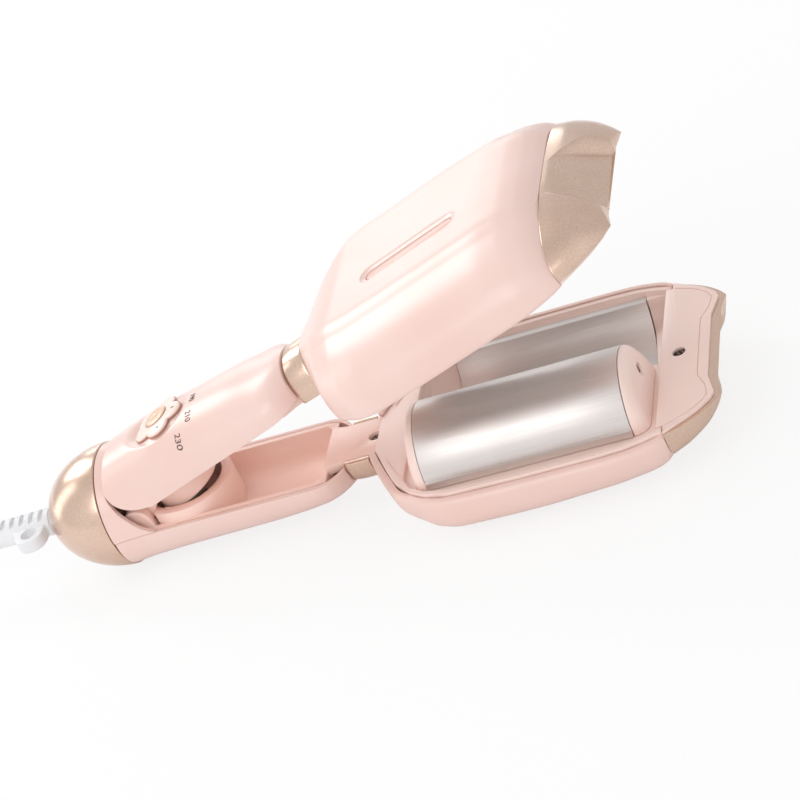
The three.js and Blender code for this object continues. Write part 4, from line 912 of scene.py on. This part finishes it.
dial = {
    "x": 38.0, "radius": 11.0, "crown": 24.2, "droop": 1.1, "thickness": 1.1, "clearance": 0.2,
    "petals": 5, "firstPetal": 4.0, "line": 0.32,
    # angle and radius of the small printed strokes on two petals
    "strokes": [(2.0, 7.8), (72.0, 8.0)],
    "discRadius": 5.0, "stem": 2.6,
}


def handleProfile(side):
    h, q = handles[side], handles["squareness"]
    end = arm["handleEnd"] + head["neckShift"][side]
    rows = [(h["start"] + row[0], *row[1:]) for row in h["fromDome"]]
    rows += [(end - row[0], *row[1:]) for row in h["fromNeck"]]
    return [(x, handles["halfWidth"] - narrow, h["depth"] - shallow, q, q) for x, narrow, shallow in rows]


def dialTop(radius):
    return dial["crown"] - dial["droop"] * (radius / dial["radius"]) ** 2


def dialScoop(x, y, depth):
    # Shallow dish under the dial, blended softly into the handle
    radius = np.hypot(x - dial["x"], y)
    lip = dial["radius"] + dial["line"] + 0.2
    floor = dialTop(np.minimum(radius, lip)) - dial["thickness"] - dial["clearance"]
    return softMin(depth, floor + np.maximum(radius - lip, 0) * 0.7, 1.6)


def makeHandle(side):
    h = handles[side]
    profile = handleProfile(side)
    turns = evenTurns(profile, 50, h["rim"], h["columns"])
    share = np.concatenate([np.linspace(0, 0.62, 76)[:-1], np.linspace(0.62, 1, 50)])[:, None]
    begin = np.full(turns.shape, h["start"])
    if side == "upper":
        section = bowlSurface(profile, np.full(turns.shape, 12.0), turns, h["rim"])
        curve = np.array(h["rearCurve"])
        begin = smoothThrough(curve[:, 1], curve[:, 0], -section[..., 2])
    x = begin + (profile[-1][0] - begin) * share
    full = np.broadcast_to(turns, x.shape)
    outer, inner = (bowlSurface(profile, x, full, h["rim"], wall) for wall in (0, handles["wall"]))
    if side == "upper":
        for grid, sunk in ((outer, 0), (inner, handles["wall"] * 0.5)):
            depth = dialScoop(grid[..., 0], grid[..., 1], -grid[..., 2] + sunk) - sunk
            near = np.hypot(grid[..., 0] - dial["x"], grid[..., 1]) < 20
            grid[..., 2] = np.where(near & (grid[..., 2] < -12), -depth, grid[..., 2])
    bm = soften(shellMesh(outer, inner), 0.45, 3, 55)
    if side == "upper":
        bm = carve(bm, [rod(-30, -10, dial["stem"] + 0.4, 32, "z", (dial["x"], 0, 0))])
    addPiece(f"{side}_handle_cover", bm, side, "shell", "shell", 40, f"{side}_handle_shell")


# Collar over the hinge, its front edge sweeping down to the lower handle
collar = {
    "rows": [(0.3, 23.0), (8.0, 22.2), (24.0, 21.5)],
    "wall": 1.8, "rim": -2.5, "radius": 22.2, "rimRadius": 22.5,
    "edge": [(-2.8, 17.6), (-1.6, 15.0), (1.2, 11.8), (5.0, 8.8), (10.2, 5.3), (15.0, 3.6), (30.0, 3.6)],
}


def makeCollar():
    rows = np.array(collar["rows"])
    edge = np.array(collar["edge"])
    lean = asin(-collar["rim"] / collar["rimRadius"])
    angle = np.linspace(-lean, pi + lean, 121)[None, :]
    share = np.linspace(0, 1, 40)[:, None]

    def wall(drawIn):
        high = (collar["radius"] - drawIn) * np.sin(angle)
        stop = smoothThrough(edge[:, 0], edge[:, 1], high)
        x = rows[0, 0] + (stop - rows[0, 0]) * share
        radius = smoothThrough(rows[:, 0], rows[:, 1], x) - drawIn
        return np.stack([x, radius * np.cos(angle), radius * np.sin(angle)], -1)
    bm = soften(shellMesh(wall(0), wall(collar["wall"])), 0.4, 3, 55)
    addPiece("collar_cover", bm, "lower", "shell", "shell", 40, "rear_collar")


dome = {"length": 29.0, "radius": 23.4, "wall": 2.0, "bore": 5.2}


def makeDome():
    profile = []
    for thick, way in ((0, 1), (dome["wall"], -1)):
        length, radius = dome["length"] - thick, dome["radius"] - thick
        turns = [acos(dome["bore"] / radius) * k / 48 for k in range(49)][::way]
        profile += [(-length * sin(turn), radius * cos(turn)) for turn in turns]
    bm = soften(latheMesh(profile, 128), 0.4, 3, 55)
    addPiece("dome_cover", bm, "lower", "gold_trim", "gold", 45, "rear_dome")


# Strain relief: notched boot with a hanging loop, turning in the dome
boot = {
    "flangeX": -23.6, "flangeRadius": 9.0, "flangeThickness": 2.0, "neck": 4.9, "radius": 5.4,
    "tipRadius": 4.7, "start": -29.3, "length": 49.0, "notches": 11, "pitch": 4.1,
    "notchLength": 2.1, "notchDepth": 1.7, "firstNotch": 4.4, "loopX": -37.2, "loopRadius": 5.9,
    "loopHole": 3.3, "loopThickness": 5.0, "loopFlare": 4.0,
}


def notchBlocks(tree, pick):
    # Rows of blocks above and below the boot, one block for each notch
    block = addNode(tree, "GeometryNodeMeshCube",
                    {"Size": combine(tree, pick["Length"], pick["Width"], pick["Height"])})
    rows = []
    for sign in (1.0, -1.0):
        line = addNode(tree, "GeometryNodeMeshLine", {
            "Count": pick["Count"], "Start Location": combine(tree, pick["First"], 0, pick["Level"] * sign),
            "Offset": combine(tree, pick["Pitch"] * -1.0, 0, 0)}, mode="OFFSET")
        rows.append(addNode(tree, "GeometryNodeInstanceOnPoints", {"Points": line, "Instance": block}))
    return addNode(tree, "GeometryNodeJoinGeometry", {0: rows})


def makeBoot():
    b = boot
    end, start, radius = b["start"] - b["length"], b["start"], b["radius"]
    flange, flangeRadius, neck = b["flangeX"], b["flangeRadius"], b["neck"]
    seated = flange + b["flangeThickness"]
    body = latheMesh([
        (seated, 0), (seated, flangeRadius), (flange, flangeRadius), (flange, neck), (start, neck),
        (start, radius - 0.3), (start - 0.3, radius), (end + 0.6, b["tipRadius"]),
        (end, b["tipRadius"] - 0.5), (end, 0)], 64)
    holeY = -radius + 0.6 - b["loopHole"]
    outline = arcPoints(b["loopX"], holeY, b["loopRadius"], 190, 360, 40)
    outline += [(b["loopX"] + b["loopRadius"], 0), (b["loopX"] - b["loopRadius"] - b["loopFlare"], 0)]
    tab = slabMesh(outline, -b["loopThickness"] / 2, b["loopThickness"] / 2)
    body = carve(body, [soften(tab, 0.5, 3, 40)], "UNION")
    hole = rod(-6, 6, b["loopHole"], 48, "z", (b["loopX"], holeY, 0))
    blocks = grow("notchBlocks", notchBlocks, {
        "Count": b["notches"], "Pitch": b["pitch"], "Length": b["notchLength"], "Width": 8.0, "Height": 4.0,
        "Level": radius - b["notchDepth"] + 2,
        "First": start - b["firstNotch"] + b["notchLength"] / 2}, "cord")
    addPiece("cord_boot", carve(body, [hole, blocks]), "swivel", "cord", "cord", 35, "swivel_strain_relief")


# Dial: blossom of round petals with a champagne disc, and a thin dark band round the petals' base that is
# painted shadow
def blossomOutline(petalRadius, orbit, steps=360):
    points = []
    for k in range(steps):
        angle = 2 * pi * k / steps
        best = dial["discRadius"] + 1.6
        for n in range(dial["petals"]):
            turn = radians(dial["firstPetal"]) + 2 * pi * n / dial["petals"]
            across = orbit * sin(turn - angle)
            if abs(across) < petalRadius:
                best = max(best, orbit * cos(turn - angle) + sqrt(petalRadius ** 2 - across ** 2))
        points.append((angle, best))
    return points


def petalRing(outline, share, grown, sunk):
    if not share:
        return [(dial["x"], 0, sunk - dial["crown"])]
    return [(dial["x"] + (r * share + grown) * cos(a), (r * share + grown) * sin(a),
             sunk - dialTop(r * share)) for a, r in outline]


def makeDial():
    d = dial
    centre, crown, thick, disc = (d["x"], 0, 0), d["crown"], d["thickness"], d["discRadius"]
    petalRadius = d["radius"] * 0.46
    outline = blossomOutline(petalRadius, d["radius"] - petalRadius)
    levels = [(0.0, 0.0), (0.25, 0.0), (0.5, 0.0), (0.7, 0.0), (0.82, 0.0), (0.9, 0.02), (0.96, 0.1),
              (0.99, 0.28), (1.0, 0.55), (1.0, thick), (0.6, thick), (0.0, thick)]
    bm = loft([petalRing(outline, share, 0, sunk) for share, sunk in levels], False)
    stem = rod(-crown + 0.8, -19.0, d["stem"], 40, "z", centre)
    seat = rod(-30, -crown + 0.5, disc + 0.2, 64, "z", centre)
    bm = carve(carve(bm, [stem], "UNION"), [seat])
    addPiece("blossom_knob", bm, "dial", "shell", "petal", 40, "dial_knob")
    strokes = []
    for turn, radius in d["strokes"]:
        top = -dialTop(radius)
        stroke = boxMesh((radius - 0.9, -0.22, top - 0.05), (radius + 0.9, 0.22, top + 0.4))
        strokes.append(moved(stroke, Matrix.Translation(centre) @ Matrix.Rotation(radians(turn), 4, "Z")))
    addPiece("petal_strokes", joinMeshes(strokes), "dial", "dark", "ink", 40)
    # thin dark band just outside the petals at their base: painted shadow
    edge = loft([petalRing(outline, 1, d["line"], sunk) for sunk in (thick - 0.45, thick)])
    addPiece("blossom_edge", edge, "dial", "dark", "outline", 40)
    low = -crown - 0.35
    button = latheMesh([(low + 0.12, 0), (low, 0.4), (low, disc - 0.9), (low + 0.12, disc - 0.35),
                        (low + 0.4, disc), (-crown + 0.45, disc), (-crown + 0.45, 0)], 96, "z", centre)
    addPiece("blossom_centre", button, "dial", "gold_trim", "disc", 40, "dial_disc")


# Heat marks printed across the handle beside the dial
marks = {
    "height": 2.4,
    "places": [("190", 54.2, 1.2, 86), ("210", 53.4, -8.6, 92), ("230", 47.6, -15.9, 100)],
    "lift": 0.06,
}


def handleDepthAt(x, y):
    rows = np.array(handleProfile("upper"))
    half, depth = (smoothThrough(rows[:, 0], rows[:, n], x) for n in (1, 2))
    power = handles["squareness"]
    rim = handles["upper"]["rim"]
    return float(-rim + (depth + rim) * np.clip(1 - np.abs(y / half) ** power, 0, 1) ** (1 / power))


def printOnHandle(text, atX, atWorldY, turn):
    # Flat text wrapped onto the handle; the arm's y runs opposite to the world's here
    curve = bpy.data.curves.new("mark" + text, "FONT")
    curve.body = text
    curve.align_x = "CENTER"
    curve.align_y = "CENTER"
    curve.size = marks["height"] * 1.4
    curve.extrude = 0.06
    flat = bpy.data.objects.new("mark" + text, curve)
    scene.collection.objects.link(flat)
    bpy.context.view_layer.update()
    bm = takeMesh(flat)
    bmesh.ops.remove_doubles(bm, verts=bm.verts, dist=1e-5)
    spin = radians(turn)
    for vert in bm.verts:
        u, v, w = vert.co
        x = atX + u * cos(spin) + v * sin(spin)
        y = -atWorldY + u * sin(spin) - v * cos(spin)
        vert.co = (x, y, -(handleDepthAt(x, y) + marks["lift"] + w))
    return bm


def makeMarks():
    numbers = joinMeshes([printOnHandle(*place) for place in marks["places"]])
    addPiece("heat_marks", numbers, "upper", "dark", "ink", 40)


# Screws with a domed head and a cross recess, all from one geometry tree
screws = {"Head": 2.3, "Height": 1.5, "Shank": 1.3, "Length": 8.0, "Recess": 1.55, "Recess Width": 0.55}
jawScrews = [(102.4, 0, -1.5), (218.5, 0, -0.7)]


def crossScrew(tree, pick):
    def place(geometry, height, scale):
        return addNode(tree, "GeometryNodeTransform", {
            "Geometry": geometry, "Translation": combine(tree, 0, 0, height), "Scale": scale})
    bar = addNode(tree, "GeometryNodeMeshCylinder",
                  {"Vertices": 28, "Radius": pick["Shank"], "Depth": pick["Length"]})
    top = addNode(tree, "GeometryNodeMeshUVSphere", {"Segments": 40, "Rings": 20, "Radius": pick["Head"]})
    top = place(top, pick["Height"] * -1.0, combine(tree, 1, 1, pick["Height"] / pick["Head"]))
    bar = place(bar, pick["Length"] * -0.5, (1, 1, 1))
    whole = addNode(tree, "GeometryNodeMeshBoolean", {"Mesh 2": [top, bar]}, operation="UNION")
    long, wide = pick["Recess"] * 2.0, pick["Recess Width"]
    blades = [addNode(tree, "GeometryNodeMeshCube", {"Size": combine(tree, x, y, 1.6)})
              for x, y in ((long, wide), (wide, long))]
    cut = addNode(tree, "GeometryNodeMeshBoolean", {"Mesh 1": whole, "Mesh 2": blades},
                  operation="DIFFERENCE")
    return addNode(tree, "GeometryNodeInstanceOnPoints", {
        "Points": pick["Geometry"], "Instance": cut, "Rotation": combine(tree, 0, pick["Lying"], 0.5)})


def makeScrews(side):
    upright = grow("crossScrews", crossScrew, {**screws, "Lying": 0.0}, "screw", jawScrews)
    y, z = caps["screwAt"]
    lying = grow("crossScrews", crossScrew, {**screws, "Lying": pi / 2}, "screw",
                 [(arm["plateTo"] - 0.05 + capFace("front", z), y, z)])
    addPiece(f"{side}_jaw_screws", upright, side, "steel", "screw", 30,
             f"{side}_neck_screw", f"{side}_tip_screw")
    addPiece(f"{side}_plug_screw", lying, side, "steel", "screw", 30, f"{side}_cap_screw")


# Return spring wound by a geometry tree
spring = {"x": 26.0, "radius": 5.0, "wire": 0.6, "turns": 6.0, "box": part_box("return_spring")}


def coilSpring(tree, pick):
    line = addNode(tree, "GeometryNodeCurveSpiral", {
        "Resolution": 40, "Rotations": pick["Turns"], "Start Radius": pick["Radius"],
        "End Radius": pick["Radius"], "Height": pick["Height"]})
    wire = addNode(tree, "GeometryNodeCurvePrimitiveCircle", {"Resolution": 12, "Radius": pick["Wire"]})
    return addNode(tree, "GeometryNodeCurveToMesh", {"Curve": line, "Profile Curve": wire, "Fill Caps": True})


def makeSpring():
    low, high = (corner.z * 1000 - arm["restDepth"] for corner in spring["box"])
    wire = spring["wire"]
    bm = grow("coilSpring", coilSpring, {"Radius": spring["radius"], "Wire": wire, "Turns": spring["turns"],
                                         "Height": high - low - 2 * wire - 0.3}, "steel")
    bm = moved(bm, Matrix.Translation((spring["x"], 0, low + wire + 0.15)))
    made = addPiece("jaw_spring", bm, "lower", "steel", "steel", 50, "return_spring")
    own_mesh(made)


# Jaw frame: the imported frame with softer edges, a seam line near the tip and a web at the neck
jawFrame = {
    "seam": [(214.8, 41.4), (219, 39.4), (223.6, 36.6), (227.4, 33.0), (229.2, 29.6), (228.4, 24.0),
             (226.6, 19.6), (225.6, 17.6), (225.4, 14.0)],
    "seamWidth": 0.4, "seamDepth": 0.35, "plateTop": -0.4, "plateThickness": 1.0, "drawIn": 0.08,
    "web": [(103.6, 9.0), (104.2, 11.4), (105.6, 14.4), (107.4, 18.4), (109.7, 23.5), (111.9, 28.2),
            (114.6, 33.2), (117.4, 36.6)],
    "webTop": -0.9, "notchAt": 229.4, "prongEnd": 231.6,
}


def mirrored(path):
    return path + [(x, -y) for x, y in reversed(path)]


def ribbonOutline(path, half):
    # Outline of a thin strip along an open path of [x, y] points
    sides = [[], []]
    for k, (x, y) in enumerate(path):
        before, after = path[max(k - 1, 0)], path[min(k + 1, len(path) - 1)]
        along = Vector((after[0] - before[0], after[1] - before[1])).normalized()
        sides[0].append((x - along.y * half, y + along.x * half))
        sides[1].append((x + along.y * half, y - along.x * half))
    return sides[0] + sides[1][::-1]


def makeJawFrame(side):
    f = jawFrame
    bm = copyOfNode(f"{side}_head_frame", side)
    for vert in bm.verts:
        past = vert.co.x - arm["tipStart"]
        if past > -0.2:
            vert.co.z = max(vert.co.z, f["plateTop"] - f["plateThickness"])
            vert.co.x -= past * f["drawIn"]
            vert.co.y *= 1 - 0.025 * min(max(past / 3, 0), 1)
        if abs(vert.co.y) < tip["notchSpan"] + 0.5:
            vert.co.x = min(vert.co.x, f["notchAt"])
        vert.co.x = min(vert.co.x, f["prongEnd"])
    seam = ribbonOutline(mirrored(f["seam"]), f["seamWidth"] / 2)
    bm = carve(bm, [slabMesh(seam, f["plateTop"] - f["seamDepth"], 2)])
    soften(bm, 0.4, 3, 40, lambda e: max(v.co.x for v in e.verts) < arm["headEnd"] + 0.3)
    web = soften(slabMesh(mirrored(f["web"]), -3.8, f["webTop"]), 0.35, 3, 60)
    # the frame takes the lighter frame peach, painted light where the upper head shades it
    addPiece(f"{side}_jaw_frame", joinMeshes([bm, web]), side, "shell", "frame", 34, f"{side}_head_frame")


# Hinge bay: dished floor behind the boss, the boss's rounded lip, the spring's seat and a cap on each pin end
bay = {
    "floor": -6.4, "from": 3.4, "to": 24.5, "halfWidth": 20.2, "rise": 3.3, "seat": -7.6,
    "seatRadius": 14.3, "seatHole": 6.4, "bossX": 27.0, "bossRadius": 18.3, "bossInner": 14.3,
    "bossTop": 1.5, "bossFrom": 17.0, "bossRoot": -9.0, "lipRound": 1.1, "pinCap": 2.9,
    "pinCapAt": 17.2,
}


def makeHingeBay():
    b = bay
    columns = np.linspace(-b["halfWidth"], b["halfWidth"], 41)
    grid = np.array([[(x, y, b["floor"] + b["rise"] * float(ease(abs(y), 13.5, 18.0))) for y in columns]
                     for x in np.linspace(b["from"], b["to"], 16)])
    tray = shellMesh(grid, grid - (0, 0, 1.2))
    middle = (b["bossX"], 0, 0)
    seat = latheMesh([(b["seat"] - 1.2, b["seatHole"]), (b["seat"], b["seatHole"]),
                      (b["seat"], b["seatRadius"]), (b["seat"] - 1.2, b["seatRadius"])], 64, "z", middle)
    seat = carve(seat, [boxMesh((-5, -20, -20), (21.3, 20, 5))])
    top, inner, outer = b["bossTop"] - b["lipRound"], b["bossInner"], b["bossRadius"]
    lip = [(b["bossRoot"], inner), (top, inner)]
    for k in range(9):
        turn = pi * k / 8
        lip.append((top + b["lipRound"] * sin(turn) ** 0.7,
                    (inner + outer) / 2 - (outer - inner) / 2 * cos(turn)))
    boss = carve(latheMesh([*lip, (b["bossRoot"], outer)], 96, "z", middle), [
        boxMesh((-5, -25, -20), (b["bossFrom"], 25, 5)), boxMesh((0, -25, -20), (60, -18.9, 5)),
        boxMesh((0, 18.9, -20), (60, 25, 5))])
    lying = Matrix.Rotation(pi / 2, 4, "X")
    pinCaps = [moved(rod(-0.15, 0.15, b["pinCap"], 40, "z", (0, 0, 0)),
                     Matrix.Translation((arm["hingeX"], way * b["pinCapAt"], 0)) @ lying)
               for way in (-1, 1)]
    parts = [soften(tray, 0.3, 2), soften(seat, 0.3, 2), boss, *pinCaps]
    # the bay takes the lighter liner peach, painted light in the hollow
    addPiece("hinge_bay", joinMeshes(parts), "lower", "inner", "inner", 40)


sleeve = {"x": 27.4, "radius": 12.7, "inner": 10.3, "end": 6.0, "round": 1.0, "root": -9.0}


def makeSleeve():
    s = sleeve
    turns = [pi / 12 * k for k in range(7)]
    profile = [(s["root"], s["radius"])]
    profile += [(s["end"] - s["round"] * (1 - sin(turn)), s["radius"] - s["round"] * (1 - cos(turn)))
                for turn in turns]
    profile += [(s["end"] - 0.5, s["inner"]), (s["root"], s["inner"])]
    bm = latheMesh(profile, 72, "z", (s["x"], 0, 0))
    # the guide takes the lighter liner peach, painted light in the hollow
    addPiece("spring_guide", bm, "upper", "inner", "inner", 40, "spring_sleeve")


def makeTray(side):
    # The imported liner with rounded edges
    bm = soften(copyOfNode(f"{side}_handle_liner", side), 0.3, 2, 40)
    # the tray takes the lighter liner peach, painted light in the hollow
    addPiece(f"{side}_handle_tray", bm, side, "inner", "inner", 32, f"{side}_handle_liner")


inside = {
    "heater": "alloy", "clip": "steel", "fuse": "steel", "pin": "steel",
    "board": "board", "switch": "dark",
}


def dressInside():
    for name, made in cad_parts.items():
        for word, finish in inside.items():
            if word in name and not name.startswith("plug"):
                made.data.materials.clear()
                made.data.materials.append(finishes[finish])


for side in ("lower", "upper"):
    makeHeadShell(side)
    makeNeckRing(side)
    makeTipCap(side)
    makePlates(side)
    makeBarrelCap(side, "front")
    makeBarrelCap(side, "rear")
    makeHandle(side)
    makeScrews(side)
    makeJawFrame(side)
    makeTray(side)
    print(side, "arm made")
makeCollar()
makeDome()
makeBoot()
makeDial()
makeMarks()
makeSpring()
makeSleeve()
makeHingeBay()
dressInside()
print("handle, dial and boot made")


# Studio: pale floor, white surroundings, soft lamps
studio = {
    "floor": srgb(250, 250, 250),
    "worldFront": 0.93, "worldBack": 0.7, "shadowShare": 0.2,
    "lamps": [
        # name, direction from the object, distance, width, height, brightness
        ("shoulder", (-0.68, 0.50, 0.54), 1.4, 0.45, 0.6, 5.0),
        ("back", (-0.40, 0.89, 0.22), 1.5, 0.6, 0.35, 1.8),
        ("left", (-0.95, 0.12, 0.30), 1.4, 0.35, 1.1, 1.5),
        ("front", (-0.32, -0.72, 0.62), 1.4, 0.7, 0.7, 1.8),
    ],
}


def rayWire(tree, ray):
    return Wire(tree, tree.nodes.new("ShaderNodeLightPath").outputs[ray])


def paleFloor(tree):
    # Keeps the shadow, and is near white where the camera sees it
    colour = mixColour(blotch(tree, 3, 2, 0.3, 0.7) * 0.2, studio["floor"], srgb(247, 247, 248))
    plain = principled(tree, {"Base Color": colour, "Roughness": 0.9})
    white = addNode(tree, "ShaderNodeEmission", {"Color": (1, 1, 1, 1), "Strength": 1.0})
    seen = rayWire(tree, "Is Camera Ray") * (1 - studio["shadowShare"])
    return addNode(tree, "ShaderNodeMixShader", {0: seen, 1: plain, 2: white})


def makeFloor():
    bm = bmesh.new()
    bmesh.ops.create_grid(bm, x_segments=1, y_segments=1, size=6)
    floor = newObject("floor", bm)
    floor.location.z = -0.0002
    floor.data.materials.append(makeMaterial("paleFloor", paleFloor))


def makeWorld():
    world = bpy.data.worlds.new("studio")
    scene.world = world
    world.use_nodes = True
    tree = world.node_tree
    tree.nodes.clear()
    camera, clear = rayWire(tree, "Is Camera Ray"), rayWire(tree, "Is Transmission Ray")
    seen = camera.math("MAXIMUM", camera, clear)
    where = addNode(tree, "ShaderNodeTexCoord", output=0)
    across = addNode(tree, "ShaderNodeSeparateXYZ", {"Vector": where}, 1)
    strength = seen + (1 - seen) * spread(across, -0.65, 0.15, studio["worldFront"], studio["worldBack"])
    shade = addNode(tree, "ShaderNodeBackground", {"Color": (1, 1, 1, 1), "Strength": strength})
    addNode(tree, "ShaderNodeOutputWorld", {"Surface": shade})


def makeLamps():
    for name, towards, distance, width, height, brightness in studio["lamps"]:
        light = bpy.data.lights.new(name, "AREA")
        light.shape = "RECTANGLE"
        light.size, light.size_y = width, height
        light.energy = brightness * pi * width * height
        lamp = bpy.data.objects.new(name, light)
        away = Vector(towards).normalized()
        lamp.location = Vector((0.04, 0, 0.05)) + away * distance
        lamp.rotation_mode = "QUATERNION"
        lamp.rotation_quaternion = (-away).to_track_quat("-Z", "Y")
        scene.collection.objects.link(lamp)


makeFloor()
makeWorld()
makeLamps()
scene.view_settings.view_transform = "Standard"
print("studio made")
